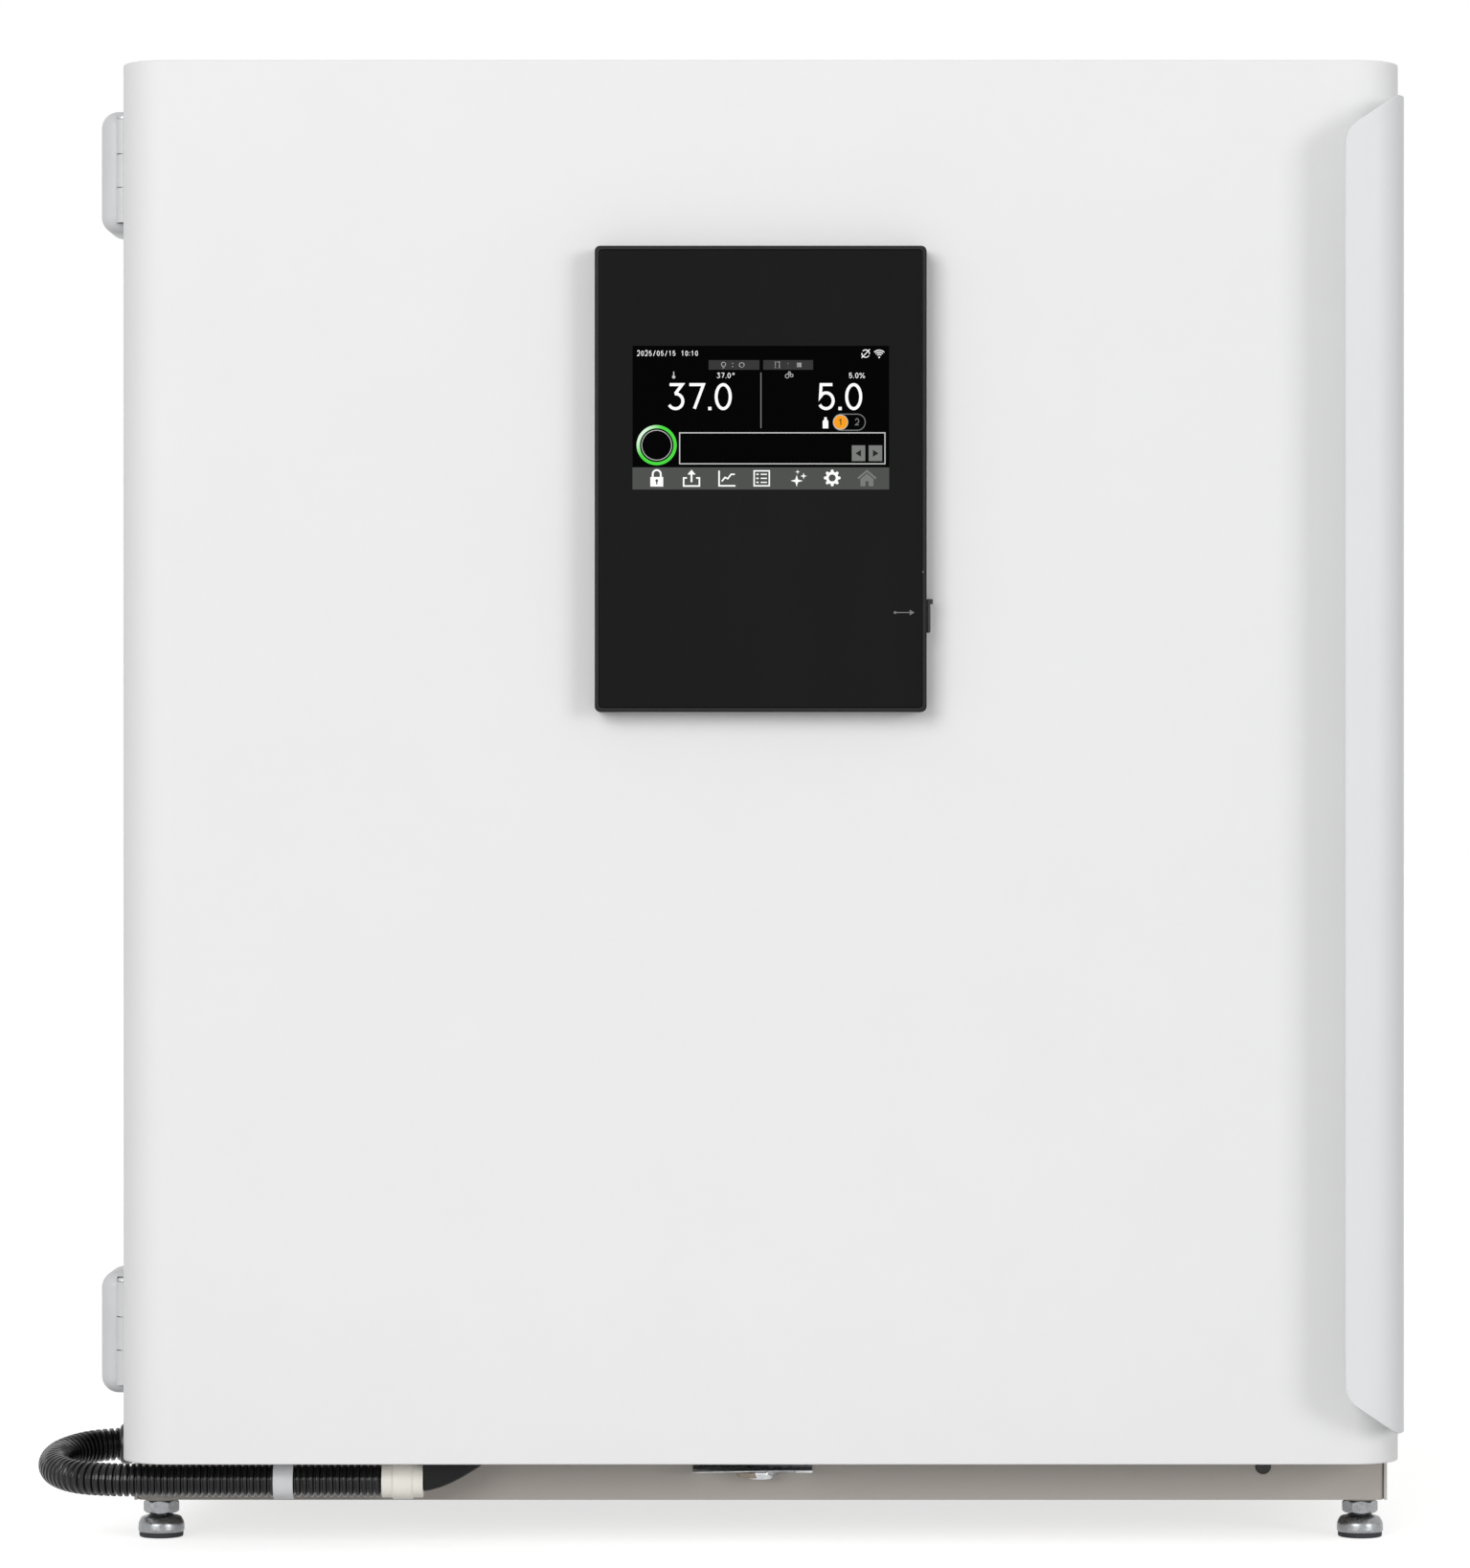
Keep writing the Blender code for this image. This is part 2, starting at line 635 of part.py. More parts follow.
def build_rear():
    """The louvred cover, and the gas inlet, cord gland and switch that sit on the rear panel."""
    seat = PANEL_REAR + CLEAR
    outline = rounded_rect(REAR_COVER_LEFT, REAR_COVER_RIGHT, REAR_COVER_LOW, REAR_COVER_HIGH, 0.006, 2)
    rows = [facing(outline, seat), facing(outline, UNIT_REAR)]
    cover = part(loft("rear_cover", rows, cap=True, wall=COVER_SHEET, grow=1), "case_paint")
    quarter = (REAR_COVER_RIGHT - REAR_COVER_LEFT) / 4
    middle = (REAR_COVER_LEFT + REAR_COVER_RIGHT) / 2
    cuts = []
    for centre in (middle - quarter, middle + quarter):
        for row in range(LOUVRE_COUNT):
            z = REAR_COVER_HIGH - 0.060 - row * LOUVRE_PITCH
            low = (centre - LOUVRE_LENGTH / 2, UNIT_REAR - 0.010, z - LOUVRE_HEIGHT)
            cuts.append((low, (centre + LOUVRE_LENGTH / 2, UNIT_REAR + 0.010, z)))
    combine(cover, "DIFFERENCE", boxes("louvres", cuts))

    inlet = [(0, 0.030), (0.0035, 0.030), (0.0045, 0.026), (0.0035, 0.0255), (0.0045, 0.0215)]
    inlet += [(0.0035, 0.021), (0.0035, 0.010), (0.009, 0.009), (0.009, 0), (0, 0)]
    part(turned("gas_inlet", inlet, (GAS_SIDE, seat, GAS_HEIGHT), (0, 1, 0), 16), "brass")

    gland = [(0, 0.016), (0.0035, 0.016), (0.0035, 0.020), (0.006, 0.020), (0.008, 0.016)]
    gland += [(0.010, 0.010), (0.012, 0.009), (0.012, 0), (0, 0)]
    part(turned("power_cord_gland", gland, (CORD_SIDE, seat, CORD_HEIGHT), (0, 1, 0), 16), "black_plastic")
    build_switch(seat)


def build_switch(seat):
    """The power switch: a housing with a well, and a rocker on a cross axis in its mouth."""
    wide, deep, tall = SWITCH_BODY
    x, z = SWITCH_SIDE, SWITCH_HEIGHT
    low = (x - wide / 2, seat, z - tall / 2)
    high = (x + wide / 2, seat + deep, z + tall / 2)
    housing = part(box("power_switch_housing", low, high), "black_plastic")
    well = SWITCH_WALL
    low = (x - wide / 2 + well, seat + well, z - tall / 2 + well)
    combine(
        housing,
        "DIFFERENCE",
        box("switch_well", low, (x + wide / 2 - well, seat + deep + 0.01, z + tall / 2 - well)),
    )
    pivot = seat + deep - 0.004
    half = tall / 2 - well - 0.0016
    level_outline = [(-0.003, -0.006), (0.0025, -half), (0.0045, -half), (0.0030, 0.0)]
    level_outline += [(0.0045, half), (0.0025, half), (-0.003, 0.006)]
    turn = Matrix.Rotation(-SWITCH_TILT, 2)
    outline = [turn @ Vector(point) + Vector((pivot, z)) for point in level_outline]
    side = wide / 2 - well - CLEAR
    rocker = part(flat("switch_rocker", [outline], "X", x - side, x + side), "black_plastic")
    hang("switch_axis", (x, pivot, z), rocker)


def build_front_frame():
    """The stepped steel ring that the outer door seals on and the inner door closes into."""
    rim = CASE_INSIDE - CLEAR
    top = CASE_CEILING - CLEAR
    rim_loop = rounded_rect(-rim, rim, FRAME_LOW, top, 0.003)
    pocket = rounded_rect(-POCKET_HALF, POCKET_HALF, POCKET_LOW, POCKET_HIGH, POCKET_CORNER)
    rows = [
        facing(rim_loop, CHAMBER_FRONT),
        facing(rim_loop, CABINET_FRONT),
        facing(pocket, CABINET_FRONT),
        facing(pocket, LEDGE_FRONT),
        chamber_loop(0.002, LEDGE_FRONT, CHAMBER_CORNER + 0.002),
    ]
    part(loft("front_frame", rows, wall=FRAME_SHEET), "stainless")

    seal_front = LEDGE_FRONT - CLEAR - GLASS_SEAL_DEPTH
    inner = CHAMBER_WIDTH / 2 + 0.0055
    outer = inner + GLASS_SEAL_WIDTH
    low, high = CHAMBER_BOTTOM - 0.0055, CHAMBER_TOP + 0.0055
    wide = rounded_rect(-outer, outer, low - GLASS_SEAL_WIDTH, high + GLASS_SEAL_WIDTH, 0.030)
    hole = rounded_rect(-inner, inner, low, high, 0.020)
    part(flat("chamber_gasket", [wide, hole], "Y", seal_front, LEDGE_FRONT - CLEAR), "white_rubber")


def build_chamber():
    """The coved steel chamber with a ledge pair for each shelf, and the foam round it."""
    flange = chamber_loop(CHAMBER_FLANGE, CHAMBER_FRONT, CHAMBER_CORNER + CHAMBER_FLANGE)
    rows = [flange] + chamber_rows(0, CHAMBER_FRONT, CHAMBER_REAR)
    chamber = part(loft("chamber", rows, cap=True, wall=CHAMBER_SHEET), "stainless")
    wall = CHAMBER_WIDTH / 2
    for shelf in range(SHELF_COUNT):
        top = shelf_height(shelf) - CLEAR
        for side in (-1, 1):
            inner, outer = side * (wall - LEDGE_WIDTH), side * (wall + CHAMBER_SHEET / 2)
            outline = [(inner, top), (inner, top - LEDGE_HEIGHT / 4)]
            outline += [(outer, top - LEDGE_HEIGHT), (outer, top)]
            name = f"ledge_{shelf + 1}_{'left' if side < 0 else 'right'}"
            front, rear = SHELF_REAR - SHELF_DEPTH, SHELF_REAR
            combine(chamber, "UNION", flat(name, [outline], "Y", front, rear))
    combine(
        chamber,
        "DIFFERENCE",
        rod("chamber_port", PORT_BORE + PORT_WALL + CLEAR, *through_rear(PORT_SIDE, PORT_HEIGHT)),
        rod("chamber_shaft_hole", SHAFT_RADIUS + 3 * CLEAR, *through_rear(0, FAN_HEIGHT)),
    )

    side = CASE_INSIDE - 2 * CLEAR
    outline = rounded_rect(-side, side, FRAME_LOW + FRAME_SHEET, CASE_CEILING - 2 * CLEAR, CASE_CORNER, 2)
    front = CHAMBER_FRONT + CHAMBER_SHEET + CLEAR
    jacket = part(flat("insulation_jacket", [outline], "Y", front, PANEL_REAR - REAR_FLANGE - CLEAR), "foam")
    margin = CHAMBER_SHEET + CLEAR
    hollow = chamber_rows(margin, CHAMBER_FRONT - 0.05, CHAMBER_REAR + margin)
    motor = MOTOR_RADIUS + 2 * CLEAR
    combine(
        jacket,
        "DIFFERENCE",
        loft("jacket_hollow", hollow, both_caps=True),
        rod("jacket_port", PORT_BORE + PORT_WALL + CLEAR, *through_rear(PORT_SIDE, PORT_HEIGHT)),
        rod("jacket_motor", motor, *through_rear(0, FAN_HEIGHT)),
    )


def shelf_height(number):
    """The underside of a shelf, counted from 0 at the bottom."""
    return SHELF_FIRST + number * SHELF_PITCH


def build_trays():
    """Three slotted shelves that slide on the ledges, and the humidity pan on the floor."""
    front = SHELF_REAR - SHELF_DEPTH
    outline = rounded_rect(-SHELF_HALF, SHELF_HALF, front, SHELF_REAR, 0.012, 2)
    pitch_x = 2 * SHELF_HALF / (SLOT_COLUMNS + 0.5)
    pitch_y = SHELF_DEPTH / (SLOT_ROWS + 0.5)
    for number in range(SHELF_COUNT):
        low = shelf_height(number)
        rows = [level(outline, low + SHELF_RIM), level(outline, low)]
        shelf = part(loft(f"shelf_{number + 1}", rows, cap=True, wall=SHELF_SHEET, grow=1), "stainless")
        cuts = []
        for column in range(SLOT_COLUMNS):
            x = (column - (SLOT_COLUMNS - 1) / 2) * pitch_x
            for row in range(SLOT_ROWS):
                y = (front + SHELF_REAR) / 2 + (row - (SLOT_ROWS - 1) / 2) * pitch_y
                corner = Vector((SLOT_WIDTH / 2, SLOT_LENGTH / 2, 0.003))
                middle = Vector((x, y, low))
                cuts.append((middle - corner, middle + corner))
        combine(shelf, "DIFFERENCE", boxes(f"shelf_slots_{number + 1}", cuts))
        hang(f"shelf_{number + 1}_axis", (0, front, low), shelf)

    half = CHAMBER_WIDTH / 2 - PAN_SIDE_GAP
    rear = SHELF_REAR
    low = CHAMBER_BOTTOM + CLEAR
    wide = rounded_rect(-half, half, rear - PAN_DEPTH, rear, 0.022, 3)
    base = rounded_rect(-half + 0.006, half - 0.006, rear - PAN_DEPTH + 0.006, rear - 0.006, 0.016, 3)
    rows = [level(wide, low + PAN_HEIGHT), level(base, low)]
    pan = part(loft("humidity_pan", rows, cap=True, wall=SHELF_SHEET, grow=1), "stainless")
    hang("humidity_pan_axis", (0, rear - PAN_DEPTH, low), pan)


def build_air_unit():
    """The duct with its grille, the fan and its motor, the lamp and the two probes."""
    seat = CHAMBER_REAR - CLEAR
    half = DUCT_WIDTH / 2
    outline = rounded_rect(-half, half, DUCT_LOW, DUCT_HIGH, DUCT_CORNER, 3)
    rows = [facing(outline, seat), facing(outline, DUCT_FRONT)]
    duct = part(loft("rear_duct", rows, cap=True, wall=DUCT_SHEET), "stainless")
    pitch = 2 * GRILLE_RADIUS / GRILLE_SLOTS
    front, rear = DUCT_FRONT - 0.01, DUCT_FRONT + 0.01
    cuts = []
    for slot in range(GRILLE_SLOTS):
        z = (slot - (GRILLE_SLOTS - 1) / 2) * pitch
        chord = math.sqrt(GRILLE_RADIUS**2 - z**2)
        low = (-chord, front, FAN_HEIGHT + z - GRILLE_SLOT / 2)
        cuts.append((low, (chord, rear, FAN_HEIGHT + z + GRILLE_SLOT / 2)))
    for slot in range(-4, 5):
        x = slot * DUCT_WIDTH / 10
        low = (x - INTAKE_SLOT / 2, front, DUCT_LOW + INTAKE_LOW)
        cuts.append((low, (x + INTAKE_SLOT / 2, rear, DUCT_LOW + INTAKE_HIGH)))
    combine(duct, "DIFFERENCE", boxes("duct_openings", cuts))
    build_fan()

    cap_start = LAMP_LENGTH - LAMP_CAP_LENGTH
    lamp = [(0, LAMP_LENGTH), (LAMP_CAP_RADIUS, LAMP_LENGTH), (LAMP_CAP_RADIUS, cap_start)]
    lamp += [(LAMP_RADIUS, cap_start), (LAMP_RADIUS, LAMP_CAP_LENGTH), (LAMP_CAP_RADIUS, LAMP_CAP_LENGTH)]
    lamp += [(LAMP_CAP_RADIUS, 0), (0, 0)]
    place = (-LAMP_LENGTH / 2, seat - LAMP_CAP_RADIUS, LAMP_HEIGHT)
    part(turned("uv_lamp", lamp, place, (1, 0, 0), 16), "lamp_glass")

    for name, side, radius in zip(("temperature_sensor", "gas_sensor"), SENSOR_SIDES, SENSOR_RADII):
        profile = [(0, SENSOR_LENGTH), (radius * 0.7, SENSOR_LENGTH), (radius, SENSOR_LENGTH - radius)]
        profile += [(radius, 0.004), (radius + 0.005, 0.004), (radius + 0.005, 0), (0, 0)]
        part(turned(name, profile, (side, seat, SENSOR_HEIGHT), (0, -1, 0), 16), "stainless")


def build_fan():
    """The impeller with swept blades on its plate, on the shaft of a motor behind the chamber."""
    back = DUCT_FRONT + DUCT_DEPTH - 0.010
    front = back - FAN_PLATE - FAN_BLADE_DEPTH
    outline = impeller_outline()
    plate_front = back - FAN_PLATE
    blades = flat("fan_impeller", [outline], "Y", front, plate_front + FAN_PLATE / 2)
    blades.location.z = FAN_HEIGHT
    impeller = part(blades, "white_plastic")
    plate = rod("fan_plate", FAN_RADIUS, (0, plate_front, FAN_HEIGHT), (0, back, FAN_HEIGHT), 36)
    combine(impeller, "UNION", plate)
    bore = SHAFT_RADIUS + CLEAR
    mouth = (0, front + 0.004, FAN_HEIGHT)
    combine(impeller, "DIFFERENCE", rod("fan_bore", bore, mouth, (0, back + 0.01, FAN_HEIGHT), 16))
    hang("fan_axis", (0, back, FAN_HEIGHT), impeller)

    motor_face = CHAMBER_BACKSIDE + CLEAR
    shaft = motor_face - front - 0.004 - CLEAR
    profile = [(0, shaft), (SHAFT_RADIUS, shaft), (SHAFT_RADIUS, 0), (MOTOR_RADIUS - 0.004, 0)]
    profile += [(MOTOR_RADIUS, -0.004), (MOTOR_RADIUS, -MOTOR_LENGTH), (0, -MOTOR_LENGTH)]
    part(turned("fan_motor", profile, (0, motor_face, FAN_HEIGHT), (0, -1, 0), 16), "zinc_steel")


def impeller_outline():
    """A hub circle with backward-swept blades: each blade is one curved strip out to the rim."""
    points = []
    thick = FAN_BLADE_THICK
    steps = 4
    for blade in range(FAN_BLADES):
        base = 2 * math.pi * blade / FAN_BLADES
        for side in (-1, 1):
            order = range(steps + 1) if side < 0 else range(steps, -1, -1)
            for step in order:
                share = step / steps
                radius = FAN_HUB_RADIUS + (FAN_RADIUS - 0.0015 - FAN_HUB_RADIUS) * share
                angle = base - FAN_SWEEP * share**1.5 + side * thick / (2 * radius)
                points.append((radius * math.cos(angle), radius * math.sin(angle)))
    return points


def build_port():
    """The access port's sleeve through the rear wall, and the plug that is pulled out of it."""
    outer = PORT_BORE + PORT_WALL
    seat = PANEL_REAR + CLEAR
    length = seat + PORT_FLANGE_SHEET - CHAMBER_REAR
    flange = length - PORT_FLANGE_SHEET
    profile = [(PORT_BORE, length), (PORT_FLANGE, length), (PORT_FLANGE, flange), (outer, flange)]
    profile += [(outer, 0), (PORT_BORE, 0), (PORT_BORE, length)]
    place = (PORT_SIDE, CHAMBER_REAR, PORT_HEIGHT)
    part(turned("access_port_sleeve", profile, place, (0, 1, 0)), "white_plastic")

    head = seat + PORT_FLANGE_SHEET + CLEAR
    fit = PORT_BORE - 2 * CLEAR
    profile = [(0, 0.012), (fit + 0.002, 0.012), (fit + 0.004, 0.009), (fit + 0.004, 0), (fit, 0)]
    profile += [(fit - 0.002, -0.040), (0, -0.040)]
    plug = part(turned("port_plug", profile, (PORT_SIDE, head, PORT_HEIGHT), (0, 1, 0)), "white_rubber")
    hang("port_plug_axis", (PORT_SIDE, head, PORT_HEIGHT), plug)


def build_feet():
    """Four levelling feet: a pad, a neck, a hexagon and a stud up through the base pan."""
    neck = 0.006
    bottom_edge = 0.0015
    r = FOOT_PAD_RADIUS
    hex_top = CABINET_BOTTOM - FOOT_COLLAR - CLEAR
    profile = [(0, FOOT_STUD_TOP), (FOOT_STUD_RADIUS, FOOT_STUD_TOP), (FOOT_STUD_RADIUS, hex_top - 0.002)]
    profile += [(neck, hex_top - 0.002), (neck, FOOT_PAD_HEIGHT), (r - 0.003, FOOT_PAD_HEIGHT)]
    profile += [(r, FOOT_PAD_HEIGHT - 0.004), (r, bottom_edge), (r - bottom_edge, 0), (0, 0)]
    corner = FOOT_HEX_FLATS / 2 / math.cos(math.pi / 6)
    for number, (x, y) in enumerate(foot_places(), 1):
        foot = part(turned(f"levelling_foot_{number}", profile, (x, y, 0), (0, 0, 1), 20), "zinc_steel")
        hexagon = rod(f"foot_hex_{number}", corner, (x, y, FOOT_HEX_LOW), (x, y, hex_top), 6)
        combine(foot, "UNION", hexagon)
        hang(f"levelling_foot_{number}_axis", (x, y, 0), foot)


def build_catch():
    """The bracket under the door, folded from the base's front, with its domed nub."""
    left, right = CATCH_SIDE - CATCH_WIDTH / 2, CATCH_SIDE + CATCH_WIDTH / 2
    rear = CABINET_FRONT - CLEAR
    upright = rear - CATCH_SHEET
    leg = box("catch_bracket", (left, rear - CATCH_REACH, CATCH_LOW), (right, rear, CATCH_LOW + CATCH_SHEET))
    bracket = part(leg, "zinc_steel")
    up = box("catch_upright", (left, upright, CATCH_LOW), (right, rear, BASE_TOP - 0.002))
    y = rear - CATCH_REACH / 2 - 0.001
    r = CATCH_NUB_RADIUS
    nub = [(0, CATCH_SHEET / 2), (CATCH_NUB_TIP, CATCH_SHEET / 2), (r, 0), (r, -0.0014)]
    nub += [(CATCH_NUB_TIP + 0.0012, -CATCH_NUB_DROP + 0.0012), (CATCH_NUB_TIP, -CATCH_NUB_DROP)]
    nub.append((0, -CATCH_NUB_DROP))
    combine(bracket, "UNION", up, turned("catch_nub", nub, (0, y, CATCH_LOW), (0, 0, 1), 20))


def door_plan(inset):
    """The door's plan outline (x, y), open at the back, moved inwards by an inset."""
    half = DOOR_WIDTH / 2 - inset
    front = DOOR_FRONT + inset
    radius = DOOR_EDGE_RADIUS - inset
    plan = arc((-half + radius, front + radius), radius, 180, 270, 6)
    return plan + arc((half - radius, front + radius), radius, 270, 360, 6)


def build_outer_door():
    """The door's skin, foam, liner and seal."""
    half = DOOR_WIDTH / 2
    plan = [(-half, DOOR_BACK)] + door_plan(0) + [(half, DOOR_BACK)]
    skin = part(door_skin(plan), "door_paint", 20)
    inset = DOOR_SHEET + CLEAR
    liner_floor = DOOR_BACK - LINER_RECESS
    foam_back = liner_floor - DOOR_SHEET - CLEAR
    plan = [(-half + inset, foam_back)] + door_plan(inset) + [(half - inset, foam_back)]
    foam_rows = [level(plan, DOOR_BOTTOM + inset), level(plan, DOOR_TOP - inset)]
    foam = part(loft("door_insulation", foam_rows, both_caps=True), "foam")

    edge = half - inset
    low, high = DOOR_BOTTOM + inset, DOOR_TOP - inset
    rim = rounded_rect(-edge, edge, low, high, 0.002)
    well_half = half - LINER_RIM
    well = rounded_rect(-well_half, well_half, low + LINER_RIM, high - LINER_RIM, 0.020)
    rows = [
        facing(rim, DOOR_BACK - LINER_FLANGE),
        facing(rim, DOOR_BACK),
        facing(well, DOOR_BACK),
        facing(well, liner_floor),
    ]
    liner = part(loft("door_liner", rows, cap=True, wall=DOOR_SHEET, grow=1), "stainless")

    inner = POCKET_HALF + DOOR_SEAL_INSET
    outer = inner + DOOR_SEAL_WIDTH
    low, high = POCKET_LOW - DOOR_SEAL_INSET, POCKET_HIGH + DOOR_SEAL_INSET
    wide = rounded_rect(-outer, outer, low - DOOR_SEAL_WIDTH, high + DOOR_SEAL_WIDTH, 0.024)
    hole = rounded_rect(-inner, inner, low, high, 0.012)
    seal = flat("door_gasket", [wide, hole], "Y", DOOR_BACK + CLEAR, CABINET_FRONT - CLEAR)
    return [skin, foam, liner, part(seal, "grey_rubber")]


def door_skin(plan):
    """A sheet wrapped round the plan outline, closed at the top and bottom and open at the back."""
    low, high = level(plan, DOOR_BOTTOM), level(plan, DOOR_TOP)
    skin = loft("door_skin", [low, high], closed=False)
    bm = bmesh.new()
    bm.from_mesh(skin.data)
    count = len(plan)
    bm.verts.ensure_lookup_table()
    bm.faces.new(bm.verts[count:])
    bm.faces.new(list(reversed(bm.verts[:count])))
    bm.to_mesh(skin.data)
    bm.free()
    sheet = skin.modifiers.new("sheet", "SOLIDIFY")
    sheet.thickness = DOOR_SHEET
    sheet.offset = -1
    sheet.use_even_offset = True
    return skin


def handle_section():
    """The handle's outer side in plan: lip, bend, leaning run and the flange on the door's side."""
    lean = HANDLE_LEAN
    run = HANDLE_LEAN_RUN
    start_x = HANDLE_OUTER - run * math.sin(lean) - HANDLE_BEND * math.cos(lean)
    front = DOOR_FRONT - HANDLE_STANDOFF
    centre = (start_x, front + HANDLE_BEND)
    bend = arc(centre, HANDLE_BEND, 270, 360 - math.degrees(lean), 7)
    end_x, end_y = bend[-1]
    flange_start = (end_x + run * math.sin(lean), end_y + run * math.cos(lean))
    flange_end = (flange_start[0], flange_start[1] + HANDLE_FLANGE)
    return [(start_x - HANDLE_LIP, front)] + bend + [flange_start, flange_end]


def handle_outline(lip):
    """The handle seen from the front: a straight lip whose ends slant back to the door's side."""
    half = HANDLE_HEIGHT / 2
    run = HANDLE_SLANT_WIDTH
    drop = run * math.tan(HANDLE_SLANT)
    r = HANDLE_CORNER
    turn = math.pi / 2 - HANDLE_SLANT
    tangent = r * math.tan(turn / 2)
    corner = half - drop
    centre = (lip + r, corner - tangent)
    upper = arc(centre, r, 180, 180 - math.degrees(turn), 4)
    upper += [(lip + run, half), (lip + 0.2, half)]
    lower = [(x, -z) for x, z in reversed(upper)]
    return [(x, HANDLE_CENTRE + z) for x, z in upper + lower]


def build_handle():
    """The bent sheet handle: its section swept up the door, trimmed by the front outline."""
    section = handle_section()
    low = HANDLE_CENTRE - HANDLE_HEIGHT / 2 - 0.005
    rows = [level(section, low), level(section, low + HANDLE_HEIGHT + 0.010)]
    handle = part(loft("handle", rows, closed=False, wall=HANDLE_SHEET), "handle_paint", 20)
    outline = handle_outline(section[0][0] - 0.00001)
    trim = flat("handle_trim", [outline], "Y", DOOR_FRONT - 0.1, DOOR_BACK + 0.1)
    return combine(handle, "INTERSECT", trim)


def build_display():
    """The display's black housing and glass on the door, with the USB socket in its right wall."""
    half = DISPLAY_WIDTH / 2
    seat = DOOR_FRONT - CLEAR
    front = DOOR_FRONT - DISPLAY_PROUD
    edge = DISPLAY_EDGE
    outline = rounded_rect(-half, half, DISPLAY_LOW, DISPLAY_HIGH, DISPLAY_CORNER, 3)
    low, high = DISPLAY_LOW + edge, DISPLAY_HIGH - edge
    face = rounded_rect(-half + edge, half - edge, low, high, DISPLAY_CORNER - edge, 3)
    rows = [facing(outline, seat), facing(outline, front + edge), facing(face, front)]
    housing = part(loft("display_housing", rows, both_caps=True), "black_plastic")
    shell = DISPLAY_WALL
    hollow = rounded_rect(-half + shell, half - shell, DISPLAY_LOW + shell, DISPLAY_HIGH - shell, 0.001, 2)
    combine(housing, "DIFFERENCE", flat("display_hollow", [hollow], "Y", front + shell, seat + 0.01))
    border = DISPLAY_BORDER
    inset = half - border
    low, high = DISPLAY_LOW + border, DISPLAY_HIGH - border
    pocket = rounded_rect(-inset, inset, low, high, 0.002, 2)
    cut = flat("glass_pocket", [pocket], "Y", front - 0.01, front + GLASS_POCKET)
    gap = 2 * CLEAR
    port_low = (half - DISPLAY_WALL - 0.01, usb_y() - USB_WIDTH / 2 - gap, USB_CENTRE - USB_HEIGHT / 2 - gap)
    port_high = (half + 0.01, usb_y() + USB_WIDTH / 2 + gap, USB_CENTRE + USB_HEIGHT / 2 + gap)
    combine(housing, "DIFFERENCE", cut, box("usb_window", port_low, port_high))
    pane = rounded_rect(-inset + CLEAR, inset - CLEAR, low + CLEAR, high - CLEAR, 0.0018, 2)
    pane_back = front + GLASS_POCKET - CLEAR
    glass = part(flat("display_glass", [pane], "Y", pane_back - GLASS_SHEET, pane_back), "black_glass")

    right = half - CLEAR
    low = (right - USB_DEPTH, usb_y() - USB_WIDTH / 2, USB_CENTRE - USB_HEIGHT / 2)
    high = (right, usb_y() + USB_WIDTH / 2, USB_CENTRE + USB_HEIGHT / 2)
    socket = part(box("usb_socket", low, high), "zinc_steel")
    wall = Vector((USB_SHEET, USB_SHEET, USB_SHEET))
    mouth = Vector((0.01, 0, 0))
    mouth_high = Vector(high) - wall + mouth + wall.project(mouth)
    combine(socket, "DIFFERENCE", box("usb_mouth", Vector(low) + wall, mouth_high))
    return [housing, glass, socket, build_usb_cover(half + CLEAR)]


def usb_y():
    """The depth Y of the USB socket's middle, halfway down the housing's side."""
    return DOOR_FRONT - DISPLAY_PROUD / 2


def build_usb_cover(face):
    """The small cover on the socket, with a pull tab at its top, hinged at its rear edge."""
    low_z, high_z = USB_CENTRE - USB_COVER_HEIGHT / 2, USB_CENTRE + USB_COVER_HEIGHT / 2
    front, rear = usb_y() - USB_COVER_WIDTH / 2, usb_y() + USB_COVER_WIDTH / 2
    outer = face + USB_COVER_SHEET
    cover = part(box("usb_cover", (face, front, low_z), (outer, rear, high_z)), "black_plastic")
    tab = box("usb_tab", (outer - 0.0005, front, high_z - 0.003), (outer + 0.0015, rear - 0.003, high_z))
    return combine(cover, "UNION", tab)


def build_outer_hinges():
    """Upper and lower hinges: a bracket on the cabinet, an arm on the door, a pin and a cover."""
    arms = []
    for name, centre in zip(("bottom", "top"), HINGE_CENTRES):
        build_hinge_bracket(name, centre)
        arms.append(build_hinge_arm(name, centre))
        build_hinge_cover(name, centre)
        head = centre + HINGE_HEIGHT / 2 + CLEAR
        r = HINGE_PIN_RADIUS
        pin = [(0, 0.0020), (r + 0.001, 0.0020), (r + 0.0016, 0.0010), (r + 0.0016, 0), (r, 0)]
        pin += [(r, -HINGE_HEIGHT), (0, -HINGE_HEIGHT)]
        part(turned(f"hinge_pin_{name}", pin, (HINGE_X, HINGE_Y, head), (0, 0, 1), 16), "zinc_steel")
    return arms


def hinge_thirds(centre):
    """The four levels that divide a hinge into its three knuckles."""
    low = centre - HINGE_HEIGHT / 2
    return [low + HINGE_HEIGHT * i / 3 for i in range(4)]


